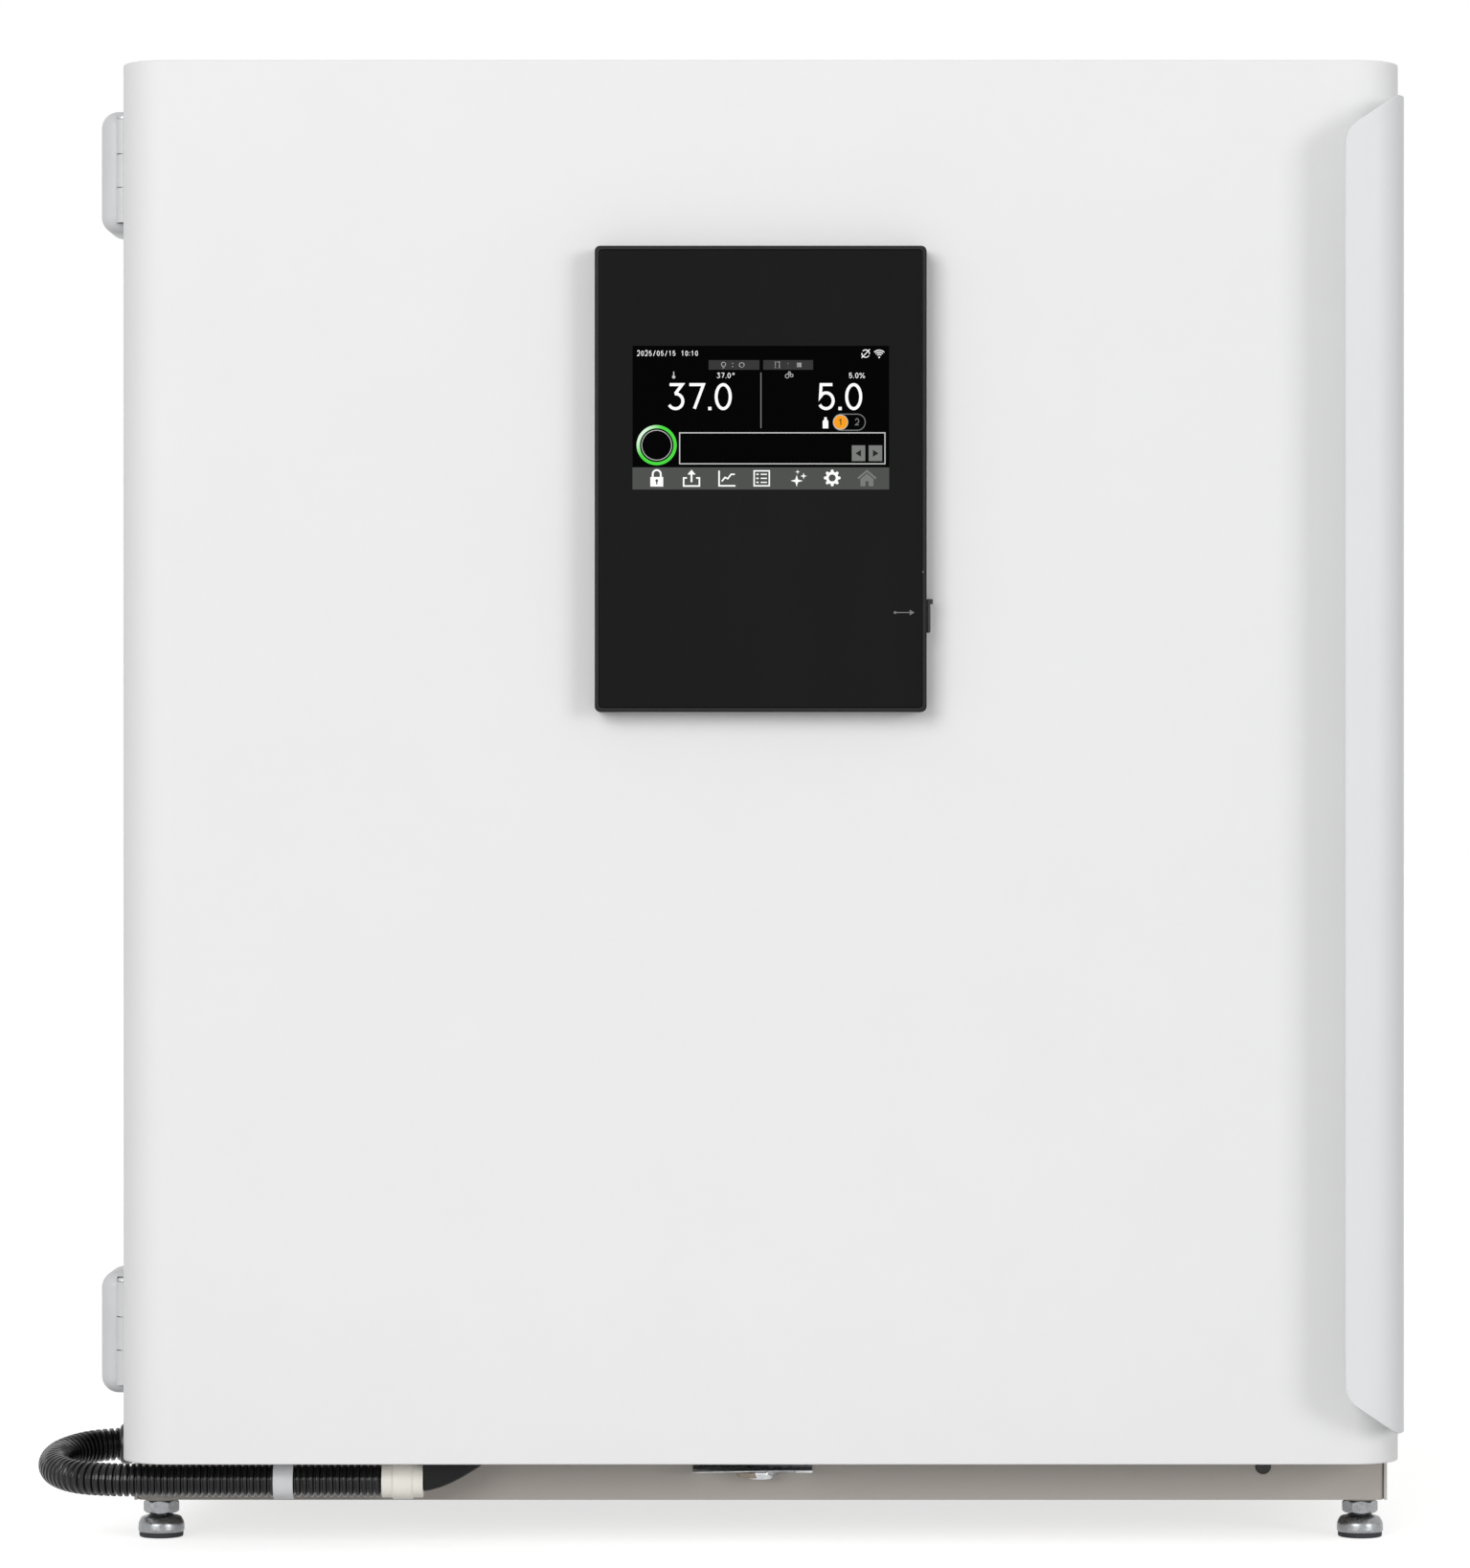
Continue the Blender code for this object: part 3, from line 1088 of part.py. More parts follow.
def build_hinge_bracket(name, centre):
    """The cabinet's half of a hinge: a leaf on the side sheet and the two outer knuckles."""
    low, lower, upper, high = hinge_thirds(centre)
    side = -CABINET_WIDTH / 2 - CLEAR
    x, y = HINGE_X, HINGE_Y
    r = KNUCKLE_RADIUS
    leaf_low = (x + 0.0022, y + 0.0006, low + 0.0005)
    leaf_high = (side, y + 0.045, high - 0.0005)
    bracket = part(box(f"hinge_bracket_{name}", leaf_low, leaf_high), "door_paint")
    reach = r + 2 * CLEAR
    notch_low = (x - 0.01, y - 0.01, lower - CLEAR)
    notch = box(f"hinge_notch_{name}", notch_low, (side + 0.01, y + reach, upper + CLEAR))
    bore = rod(f"hinge_bore_{name}", HINGE_PIN_RADIUS + CLEAR, (x, y, low - 0.01), (x, y, high + 0.01), 16)
    lower_knuckle = rod(f"hinge_lower_{name}", r, (x, y, low), (x, y, lower), 16)
    upper_knuckle = rod(f"hinge_upper_{name}", r, (x, y, upper), (x, y, high), 16)
    combine(bracket, "DIFFERENCE", notch)
    combine(bracket, "UNION", lower_knuckle, upper_knuckle)
    combine(bracket, "DIFFERENCE", bore)


def build_hinge_arm(name, centre):
    """The door's half of a hinge: a leaf behind the door's edge and the middle knuckle."""
    low, lower, upper, high = hinge_thirds(centre)
    x, y = HINGE_X, HINGE_Y
    leaf_front = DOOR_BACK + CLEAR
    leaf_left = x + KNUCKLE_RADIUS + 2 * CLEAR
    leaf_right = -POCKET_HALF - DOOR_SEAL_INSET - DOOR_SEAL_WIDTH - 3 * CLEAR
    leaf = box(f"hinge_arm_{name}", (leaf_left, leaf_front, low), (leaf_right, leaf_front + HINGE_LEAF, high))
    arm = part(leaf, "zinc_steel")
    gap = 2 * CLEAR
    corner = (leaf_left + 0.001, leaf_front + HINGE_LEAF, upper - gap)
    web = box(f"arm_web_{name}", (x, leaf_front, lower + gap), corner)
    knuckle = rod(f"arm_knuckle_{name}", KNUCKLE_RADIUS, (x, y, lower + gap), (x, y, upper - gap), 16)
    bore = rod(f"arm_bore_{name}", HINGE_PIN_RADIUS + CLEAR, (x, y, low), (x, y, high), 16)
    combine(arm, "UNION", web, knuckle)
    return combine(arm, "DIFFERENCE", bore)


def build_hinge_cover(name, centre):
    """A rounded cover over the bracket, open towards the cabinet and where the knuckles stand."""
    side = -CABINET_WIDTH / 2 - CLEAR
    front = HINGE_Y + 0.002
    low_z, high_z = centre - COVER_HEIGHT / 2, centre + COVER_HEIGHT / 2
    r = COVER_CORNER
    left, rear = side - COVER_REACH + CLEAR, front + COVER_DEPTH
    plan = [(side, rear)] + arc((left + r, rear - r), r, 90, 180, 4)
    plan += arc((left + r, front + r), r, 180, 270, 4) + [(side, front)]
    cover = part(flat(f"hinge_cover_{name}", [plan], "Z", low_z, high_z), "white_plastic")
    wall = COVER_WALL
    knuckle_left = HINGE_X - KNUCKLE_RADIUS - 2 * CLEAR
    slot_low, slot_high = centre - HINGE_HEIGHT / 2 - 0.0030, centre + HINGE_HEIGHT / 2 + 0.0030
    hollow_low = (knuckle_left, front - 0.01, slot_low)
    hollow_high = (side + 0.01, rear - wall - 0.002, slot_high)
    side_low = (left + wall, front + wall + 0.002, slot_low)
    side_high = (side + 0.01, rear - wall - 0.0025, slot_high)
    front_slot = box(f"cover_front_{name}", hollow_low, hollow_high)
    combine(cover, "DIFFERENCE", front_slot, box(f"cover_well_{name}", side_low, side_high))


def build_inner_door():
    """The glass pane with its hinge leaves and latch, and the brackets they meet on the frame."""
    half = POCKET_HALF - GLASS_EDGE_GAP
    low, high = POCKET_LOW + GLASS_EDGE_GAP, POCKET_HIGH - GLASS_EDGE_GAP
    outline = rounded_rect(-half, half, low, high, GLASS_CORNER, 3)
    pane = part(flat("inner_door_glass", [outline], "Y", GLASS_FRONT, GLASS_BACK), "clear_glass")
    moving = [pane]
    for name, z in (("bottom", low + INNER_HINGE_INSET), ("top", high - INNER_HINGE_INSET)):
        build_inner_bracket(name, z)
        moving.append(build_inner_leaf(name, z))

    x, z = LATCH_X, LATCH_Z
    face = GLASS_FRONT - CLEAR
    reach = LATCH_INSET - 0.005
    base_low, base_high = (x - reach, LATCH_FACE, z - 0.030), (x + reach, face, z + 0.030)
    base = part(box("inner_latch_base", base_low, base_high), "stainless")
    bore = 0.0043 + CLEAR
    combine(base, "DIFFERENCE", rod("latch_bore", bore, (x, LATCH_FACE - 0.01, z), (x, face + 0.01, z), 16))
    moving.append(base)
    knob = build_latch_knob()
    build_keeper()
    return moving, knob


def inner_thirds(z):
    """The four levels of an inner hinge's three knuckles."""
    low = z - INNER_HINGE_HEIGHT / 2
    return [low + INNER_HINGE_HEIGHT * share for share in (0, 0.3, 0.7, 1)]


def build_inner_bracket(name, z):
    """The frame's half of an inner hinge: a foot on the ledge, two knuckles and their pin."""
    low, lower, upper, high = inner_thirds(z)
    x, y = INNER_HINGE_X, INNER_HINGE_Y
    r = INNER_KNUCKLE
    rear = LEDGE_FRONT - CLEAR
    left, right = -POCKET_HALF + CLEAR, -POCKET_HALF + GLASS_EDGE_GAP - 0.001
    foot = box(f"inner_hinge_bracket_{name}", (left, rear - 0.002, low), (right, rear, high))
    bracket = part(foot, "stainless")
    half = r * 0.7
    lower_web = box(f"inner_web_lower_{name}", (x - half, y, low), (x + half, rear - 0.001, lower))
    upper_web = box(f"inner_web_upper_{name}", (x - half, y, upper), (x + half, rear - 0.001, high))
    lower_knuckle = rod(f"inner_lower_{name}", r, (x, y, low), (x, y, lower), 16)
    upper_knuckle = rod(f"inner_upper_{name}", r, (x, y, upper), (x, y, high), 16)
    pin = rod(f"inner_pin_{name}", INNER_PIN, (x, y, low + 0.002), (x, y, high - 0.002), 12)
    combine(bracket, "UNION", lower_web, upper_web, lower_knuckle, upper_knuckle, pin)


def build_inner_leaf(name, z):
    """The glass's half of an inner hinge: a plate on the pane and the middle knuckle."""
    low, lower, upper, high = inner_thirds(z)
    x, y = INNER_HINGE_X, INNER_HINGE_Y
    face = GLASS_FRONT - CLEAR
    gap = 2 * CLEAR
    left = -POCKET_HALF + GLASS_EDGE_GAP
    plate = box(f"inner_hinge_leaf_{name}", (left, face - INNER_LEAF, low), (left + 0.030, face, high))
    leaf = part(plate, "stainless")
    neck = box(
        f"inner_neck_{name}", (x, face - INNER_LEAF, lower + gap), (left + 0.001, face - CLEAR, upper - gap)
    )
    knuckle = rod(f"inner_middle_{name}", INNER_KNUCKLE, (x, y, lower + gap), (x, y, upper - gap), 16)
    bore = rod(f"inner_bore_{name}", INNER_PIN + CLEAR, (x, y, low), (x, y, high), 16)
    combine(leaf, "UNION", neck, knuckle)
    return combine(leaf, "DIFFERENCE", bore)


def build_latch_knob():
    """The inner latch: a disc with a raised finger bar and a tongue that turns behind the keeper."""
    x, z = LATCH_X, LATCH_Z
    face = LATCH_FACE - CLEAR
    r = LATCH_KNOB_RADIUS
    top = LATCH_DISC
    profile = [(0, top), (r - 0.003, top), (r - 0.001, top - 0.001), (r, top - 0.003), (r, 0), (0.004, 0)]
    profile += [(0.004, -LATCH_PLATE), (0, -LATCH_PLATE)]
    knob = part(turned("inner_latch_knob", profile, (x, face, z), (0, -1, 0), 20), "white_plastic")
    tongue_low = (x - 0.004, face - 0.002, z)
    tongue = box("latch_tongue", tongue_low, (x + 0.004, face, z + LATCH_TONGUE))
    half, side = LATCH_BAR / 2, LATCH_BAR_WIDTH / 2
    bar_low = (x - side, face - LATCH_KNOB_HEIGHT, z - half)
    bar = box("latch_bar", bar_low, (x + side, face - top + 0.001, z + half))
    return combine(knob, "UNION", tongue, bar)


def build_keeper():
    """The keeper on the ledge: a folded channel, open towards the latch, that holds the tongue."""
    rear = LEDGE_FRONT - CLEAR
    sheet = KEEPER_SHEET
    left = POCKET_HALF - GLASS_EDGE_GAP + 0.0015
    right = POCKET_HALF - CLEAR
    low, high = LATCH_Z - 0.010, LATCH_Z + 0.010
    leg_rear = LATCH_FACE - 2 * CLEAR - 0.002
    foot = box("latch_keeper", (left, rear - sheet, low), (right, rear, high))
    keeper = part(foot, "stainless")
    post = box("keeper_post", (right - sheet, leg_rear - sheet, low), (right, rear, high))
    leg = box("keeper_leg", (left, leg_rear - sheet, low), (right, leg_rear, high))
    combine(keeper, "UNION", post, leg)


def smooth_route(points, spacing):
    """Points at about the spacing along a smooth curve through the route's own points."""
    route = [Vector(point) for point in points]
    route = [2 * route[0] - route[1]] + route + [2 * route[-1] - route[-2]]
    out = []
    for before, start, end, after in zip(route, route[1:], route[2:], route[3:]):
        steps = max(1, round((end - start).length / spacing))
        for step in range(steps):
            t = step / steps
            place = 2 * start + (end - before) * t
            place += (2 * before - 5 * start + 4 * end - after) * t**2
            place += (3 * start - before - 3 * end + after) * t**3
            out.append(place / 2)
    out.append(route[-2])
    return out


def build_conduit():
    """The conduit: gland, free loop, the run under the door, its clip, its fitting and its boot."""
    r = CONDUIT_RADIUS
    bore = r + CLEAR
    bowl = GLAND_RADIUS - 0.0015
    profile = [(bore, GLAND_LENGTH), (bowl, GLAND_LENGTH), (GLAND_RADIUS, GLAND_LENGTH - 0.0015)]
    profile += [(GLAND_RADIUS, 0), (0, 0), (0, 0.003), (bore, 0.003), (bore, GLAND_LENGTH)]
    place = (-CABINET_WIDTH / 2 - CLEAR, GLAND_Y, GLAND_HEIGHT)
    part(turned("conduit_gland", profile, place, (-1, 0, 0)), "black_plastic")

    z = CONDUIT_HEIGHT
    inside_gland = GLAND_MOUTH + GLAND_LENGTH - 0.003 - CLEAR
    loop = [
        (inside_gland, GLAND_Y, GLAND_HEIGHT),
        (GLAND_MOUTH - 0.002, GLAND_Y - 0.0002, GLAND_HEIGHT - 0.0002),
        (-0.4160, -0.2330, 0.0524),
        (-0.4285, -0.2500, 0.0500),
        (-0.4325, -0.2700, 0.0470),
        (-0.4275, -0.2900, 0.0442),
        (-0.4130, -0.3070, 0.0424),
        (-0.3900, -0.3145, 0.0418),
        (-0.3600, CONDUIT_Y, z),
        (-0.3350, CONDUIT_Y, z),
    ]
    part(tube("conduit_loop", smooth_route(loop, 0.012), r), "black_plastic")
    fitting_bore = FITTING_LEFT + 0.006
    run = [(-0.3347, CONDUIT_Y, z), (CLIP_SIDE, CONDUIT_Y, z), (fitting_bore, CONDUIT_Y, z)]
    door_run = part(tube("conduit_door_run", run, r), "black_plastic")
    return [door_run, build_clip(), build_fitting(), build_boot()]


def build_clip():
    """The band round the conduit with its tab against the door's underside."""
    y, z = CONDUIT_Y, CONDUIT_HEIGHT
    inner = CONDUIT_RADIUS + CLEAR
    outer = inner + CLIP_BAND
    circle = arc((y, z), outer, 0, 360 * 23 / 24, 23)
    hole = arc((y, z), inner, 0, 360 * 23 / 24, 23)
    left, right = CLIP_SIDE - CLIP_WIDTH / 2, CLIP_SIDE + CLIP_WIDTH / 2
    clip = part(flat("conduit_clip", [circle, hole], "X", left, right), "white_plastic")
    tab = box("clip_tab", (left, y - 0.004, z + inner + 0.0002), (right, y + 0.004, DOOR_BOTTOM - CLEAR))
    return combine(clip, "UNION", tab)


def build_fitting():
    """The banded fitting that the conduit ends in."""
    length = FITTING_RIGHT - FITTING_LEFT
    r = FITTING_RADIUS
    band = FITTING_BAND
    bore = CONDUIT_RADIUS + CLEAR
    depth = 0.006 + CLEAR
    profile = [(0, length), (r, length), (r, length - 0.006), (band, length - 0.007), (band, 0.007)]
    profile += [(r, 0.006), (r, 0.0), (bore, 0.0), (bore, depth), (0, depth)]
    place = (FITTING_LEFT, CONDUIT_Y, CONDUIT_HEIGHT)
    return part(turned("conduit_fitting", profile, place, (1, 0, 0)), "white_plastic")


def build_boot():
    """The tapered boot that carries the cable from the fitting up into the door's underside."""
    left = FITTING_RIGHT + CLEAR
    top = DOOR_BOTTOM - CLEAR
    low = CONDUIT_HEIGHT - 0.006
    outline = [(left, top), (left, low), (left + 0.009, low + 0.003), (BOOT_RIGHT - 0.004, top - 0.0045)]
    outline.append((BOOT_RIGHT, top))
    half = BOOT_WIDTH / 2
    boot = flat("cable_boot", [outline], "Y", CONDUIT_Y - half, CONDUIT_Y + half)
    return bevel(part(boot, "black_plastic"), 0.003, 2, 50)


def build_incubator():
    """Build every sub-part and hang the moving ones on their axes."""
    build_case()
    build_rear()
    build_front_frame()
    build_chamber()
    build_trays()
    build_air_unit()
    build_port()
    build_feet()
    build_catch()
    door = build_outer_door()
    door.append(build_handle())
    display = build_display()
    usb_cover = display.pop()
    door += display
    door += build_outer_hinges()
    door += build_conduit()
    middle = DOOR_BOTTOM + DOOR_HEIGHT / 2
    outer = hang("outer_door_axis", (HINGE_X, HINGE_Y, middle), *door)
    cover_axis = (DISPLAY_WIDTH / 2 + CLEAR + USB_COVER_SHEET / 2, usb_y() + USB_COVER_WIDTH / 2, USB_CENTRE)
    flap = hang("usb_cover_axis", cover_axis, usb_cover)
    flap.parent = outer
    flap.matrix_parent_inverse = Matrix.Translation(-outer.location)
    glass_door, knob = build_inner_door()
    inner = hang("inner_door_axis", (INNER_HINGE_X, INNER_HINGE_Y, LATCH_Z), *glass_door)
    latch = hang("inner_latch_axis", (LATCH_X, LATCH_FACE, LATCH_Z), knob)
    latch.parent = inner
    latch.matrix_parent_inverse = Matrix.Translation(-inner.location)


def centre_footprint():
    """Hang everything on one empty and move it, so that the footprint is centred on the origin."""
    root = bpy.data.objects.new("footprint_centre", None)
    loose = [obj for obj in list(PARTS.objects) + list(CUTTERS.objects) if obj.parent is None]
    PARTS.objects.link(root)
    for obj in loose:
        obj.parent = root
    root.location.x = FOOTPRINT_SHIFT


build_incubator()
centre_footprint()
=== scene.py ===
"""Looks of the carbon dioxide incubator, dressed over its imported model.

All lengths are metres in the model's own frame: the front faces -Y, +X is to the right seen from the
front, and the feet stand on Z = 0.
"""

import json
import logging
import math
from dataclasses import dataclass, field
from enum import Enum
from typing import Mapping, Optional, Sequence, Union

import bmesh
import bpy
import numpy as np
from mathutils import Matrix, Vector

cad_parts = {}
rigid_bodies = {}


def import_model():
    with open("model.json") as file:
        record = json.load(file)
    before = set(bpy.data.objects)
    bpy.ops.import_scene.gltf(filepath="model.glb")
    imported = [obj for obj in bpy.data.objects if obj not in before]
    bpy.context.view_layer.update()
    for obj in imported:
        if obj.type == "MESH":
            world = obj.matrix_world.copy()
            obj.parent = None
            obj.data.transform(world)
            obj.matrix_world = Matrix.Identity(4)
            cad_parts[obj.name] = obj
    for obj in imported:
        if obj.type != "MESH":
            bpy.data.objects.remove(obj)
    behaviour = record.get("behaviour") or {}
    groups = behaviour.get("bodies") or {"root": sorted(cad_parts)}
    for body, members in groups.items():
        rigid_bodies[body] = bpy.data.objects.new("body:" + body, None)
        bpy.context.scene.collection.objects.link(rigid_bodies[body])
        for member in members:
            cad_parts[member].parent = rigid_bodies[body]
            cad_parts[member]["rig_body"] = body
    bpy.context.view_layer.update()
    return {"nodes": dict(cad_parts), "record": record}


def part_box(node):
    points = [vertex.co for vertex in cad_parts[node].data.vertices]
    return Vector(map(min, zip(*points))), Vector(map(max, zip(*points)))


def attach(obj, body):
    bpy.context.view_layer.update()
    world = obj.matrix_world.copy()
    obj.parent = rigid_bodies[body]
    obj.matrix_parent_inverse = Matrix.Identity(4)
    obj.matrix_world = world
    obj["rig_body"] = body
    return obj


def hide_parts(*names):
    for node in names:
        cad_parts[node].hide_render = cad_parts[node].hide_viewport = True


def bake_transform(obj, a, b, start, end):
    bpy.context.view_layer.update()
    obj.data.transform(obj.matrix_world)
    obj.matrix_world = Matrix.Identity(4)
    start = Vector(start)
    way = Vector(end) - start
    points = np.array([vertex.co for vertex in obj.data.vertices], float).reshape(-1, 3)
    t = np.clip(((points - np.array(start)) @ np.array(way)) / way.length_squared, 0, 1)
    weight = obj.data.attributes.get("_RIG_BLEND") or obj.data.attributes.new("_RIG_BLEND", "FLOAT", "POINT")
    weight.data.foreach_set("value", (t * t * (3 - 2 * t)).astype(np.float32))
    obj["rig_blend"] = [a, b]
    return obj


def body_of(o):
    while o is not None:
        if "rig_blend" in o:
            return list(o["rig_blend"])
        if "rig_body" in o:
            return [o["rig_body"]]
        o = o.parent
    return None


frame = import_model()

LOG = logging.getLogger("incubator")

# Places that several classes share: the cabinet's middle in x and its left side measured from there, and
# the front and rear edge of the door's shell in y.
SHIFT = 0.00835
CABINET_SIDE = -0.3833
DOOR_FACE = -0.350
DOOR_REAR = -0.285

# Limits of the surface work: distances under which two points are one or a point is on an axis, the
# least cosine that an offset corner is divided by, the angle under which two faces are one, and the
# number of faces across an eased edge.
SAME_POINT = 1e-9
ON_AXIS = 1e-6
WELD_DISTANCE = 0.000005
LEAST_COSINE = 0.3
FLAT_DEGREES = 0.4
EDGE_SEGMENTS = 2

Colour = tuple[float, float, float]
Outline = Union[np.ndarray, Sequence[Sequence[float]]]


def srgb(red: float, green: float, blue: float) -> Colour:
    """Linear colour of a screen colour.

    Args:
        red, green, blue: the colour in steps of 255.

    Returns:
        The three linear values from 0 to 1.
    """
    share = np.array([red, green, blue], float) / 255
    linear = np.where(share <= 0.04045, share / 12.92, ((share + 0.055) / 1.055) ** 2.4)
    return tuple(float(value) for value in linear)


def scaled(colour: Colour, factor: float) -> Colour:
    """The colour made darker or lighter by a factor."""
    return tuple(min(1.0, value * factor) for value in colour)


# Materials


class Wire:
    """One output inside a material. Arithmetic on it adds Math nodes."""

    def __init__(self, tree: "Paintwork", socket: bpy.types.NodeSocket) -> None:
        """Keep the tree and the socket that this value comes from."""
        self.tree = tree
        self.socket = socket

    def _math(self, operation: str, first: "Value", second: "Value") -> "Wire":
        """Add one Math node on two values."""
        return self.tree.add("ShaderNodeMath", {"operation": operation}, {0: first, 1: second})

    def __add__(self, other: "Value") -> "Wire":
        """Sum."""
        return self._math("ADD", self, other)

    def __radd__(self, other: "Value") -> "Wire":
        """Sum with a number on the left."""
        return self._math("ADD", other, self)

    def __sub__(self, other: "Value") -> "Wire":
        """Difference."""
        return self._math("SUBTRACT", self, other)

    def __rsub__(self, other: "Value") -> "Wire":
        """Difference with a number on the left."""
        return self._math("SUBTRACT", other, self)

    def __mul__(self, other: "Value") -> "Wire":
        """Product."""
        return self._math("MULTIPLY", self, other)

    def __rmul__(self, other: "Value") -> "Wire":
        """Product with a number on the left."""
        return self._math("MULTIPLY", other, self)

    def __truediv__(self, other: "Value") -> "Wire":
        """Quotient."""
        return self._math("DIVIDE", self, other)

    def __rtruediv__(self, other: "Value") -> "Wire":
        """Quotient with a number on the left."""
        return self._math("DIVIDE", other, self)

    def step(self, low: float, high: float) -> "Wire":
        """A smooth rise from 0 at low to 1 at high."""
        limits = {"Value": self, "From Min": low, "From Max": high}
        return self.tree.add("ShaderNodeMapRange", {"interpolation_type": "SMOOTHSTEP"}, limits)


Value = Union[float, Colour, Wire]


class Paintwork:
    """The node tree of one material: its Principled shader and the nodes that feed it."""

    def __init__(self, name: str, tree: Optional[bpy.types.NodeTree] = None) -> None:
        """Make an empty material with its shader, or work on a tree that exists.

        Args:
            name: the material's name.
            tree: the tree to work on instead of a new material's.
        """
        if tree is None:
            self.material = bpy.data.materials.new(name)
            self.material.use_nodes = True
            tree = self.material.node_tree
        self.tree = tree
        self.shader = self.tree.nodes.get("Principled BSDF")

    def feed(self, socket: bpy.types.NodeSocket, value: Value) -> None:
        """Link a wire to a socket, or set the socket to a number or colour.

        Args:
            socket: the socket to feed.
            value: the wire, number or colour.
        """
        if isinstance(value, Wire):
            self.tree.links.new(value.socket, socket)
        elif socket.type == "RGBA":
            socket.default_value = (*value, 1.0)
        else:
            socket.default_value = value

    def add(
        self,
        kind: str,
        settings: Optional[Mapping[str, object]] = None,
        inputs: Optional[Mapping[Union[int, str], Value]] = None,
        output: Union[int, str] = 0,
    ) -> Wire:
        """Add a node.

        Args:
            kind: the node's type.
            settings: its options, set before its sockets.
            inputs: values or wires for its sockets, by name or number.
            output: the output that is wanted.

        Returns:
            That output as a wire.
        """
        node = self.tree.nodes.new(kind)
        for key, value in (settings or {}).items():
            setattr(node, key, value)
        for key, value in (inputs or {}).items():
            self.feed(node.inputs[key], value)
        return Wire(self, node.outputs[output])

    def place(self, stretch: Colour = (1.0, 1.0, 1.0)) -> Wire:
        """The point on the surface in metres, stretched along each axis."""
        point = self.add("ShaderNodeTexCoord", output="Object")
        return self.add("ShaderNodeVectorMath", {"operation": "MULTIPLY"}, {0: point, 1: stretch})

    def seen(self) -> Wire:
        """1 on the rays that reach the camera straight or by way of metal or glass, otherwise 0.

        Returns:
            That value as a wire.
        """
        total = self.add("ShaderNodeLightPath", output="Is Camera Ray")
        for kind in ("Is Glossy Ray", "Is Transmission Ray"):
            total = total + self.add("ShaderNodeLightPath", output=kind)
        return self.add("ShaderNodeMath", {"operation": "MINIMUM"}, {0: total, 1: 1.0})

    def noise(self, scale: float, detail: float = 2.0, stretch: Colour = (1.0, 1.0, 1.0)) -> Wire:
        """Cloudy noise from 0 to 1, with features of about 1 / scale metres."""
        inputs = {"Vector": self.place(stretch), "Scale": scale, "Detail": detail}
        return self.add("ShaderNodeTexNoise", inputs=inputs)

    def cells(self, scale: float, stretch: Colour = (1.0, 1.0, 1.0)) -> Wire:
        """Distance to the nearest of scattered points, about 1 / scale metres apart."""
        return self.add("ShaderNodeTexVoronoi", inputs={"Vector": self.place(stretch), "Scale": scale})

    def mixed(self, share: Value, first: Union[Colour, Wire], second: Union[Colour, Wire]) -> Wire:
        """A colour between two, by a share."""
        return self.add("ShaderNodeMix", {"data_type": "RGBA"}, {0: share, 6: first, 7: second}, 2)

    def show(self, **sockets: Value) -> None:
        """Set or link sockets of the shader, with underscores for the spaces in their names."""
        for key, value in sockets.items():
            self.feed(self.shader.inputs[key.replace("_", " ")], value)

    def relief(self, height: Wire, strength: float, distance: float) -> None:
        """Feed a bump of the given height pattern to the shader's normal."""
        inputs = {"Height": height, "Strength": strength, "Distance": distance}
        self.show(Normal=self.add("ShaderNodeBump", inputs=inputs, output="Normal"))


class Grain(Enum):
    """The direction that a brushed surface's grain runs in, as the stretch of its noise."""

    ALONG_X = (0.02, 1.0, 1.0)
    ALONG_Y = (1.0, 0.02, 1.0)
    ALONG_Z = (1.0, 1.0, 0.02)


@dataclass(frozen=True)
class Finish:
    """A surface finish: its name, colour and gloss. Each kind adds its own detail."""

    name: str
    colour: Colour
    roughness: float = 0.5
    specular: float = 0.5

    def material(self) -> bpy.types.Material:
        """The finish's material, made at its first use.

        Returns:
            The material.
        """
        found = bpy.data.materials.get(self.name)
        if found is None:
            work = Paintwork(self.name)
            work.shader.inputs["Specular IOR Level"].default_value = self.specular
            self.dress(work)
            found = work.material
        return found

    def dress(self, work: Paintwork) -> None:
        """Add the detail that this kind of finish shows."""
        raise NotImplementedError

    def tone(self, work: Paintwork, pattern: Wire, spread: float) -> Wire:
        """The colour, darker and lighter by a spread where a pattern says."""
        return work.mixed(pattern, scaled(self.colour, 1 - spread), scaled(self.colour, 1 + spread))


@dataclass(frozen=True)
class PowderCoat(Finish):
    """Baked powder paint: a fine orange peel and a very faint cloudiness."""

    peel: float = 650.0

    def dress(self, work: Paintwork) -> None:
        """Cloudy tone, uneven gloss and the peel as a bump.

        Args:
            work: the material's nodes.
        """
        cloud = work.noise(scale=14.0, detail=3.0)
        peel = work.noise(self.peel, detail=2.0)
        work.show(Base_Color=self.tone(work, cloud, spread=0.012))
        work.show(Roughness=self.roughness + (work.noise(scale=55.0, detail=3.0) - 0.5) * 0.10)
        work.relief(peel, strength=0.16, distance=0.00012)


@dataclass(frozen=True)
class BrushedSteel(Finish):
    """Stainless sheet with a fine directional grain and faint handling marks."""

    grain: Grain = Grain.ALONG_X

    def dress(self, work: Paintwork) -> None:
        """Streaks along the grain in tone, gloss and bump, and soft smudges.

        Args:
            work: the material's nodes.
        """
        streak = work.noise(scale=1500.0, detail=3.0, stretch=self.grain.value)
        smudge = work.noise(scale=4.0, detail=2.0).step(low=0.40, high=0.80)
        work.show(Metallic=1.0, Base_Color=self.tone(work, streak, spread=0.06))
        work.show(Roughness=self.roughness + (streak - 0.5) * 0.10 + smudge * 0.03)
        work.relief(streak, strength=0.03, distance=0.00002)


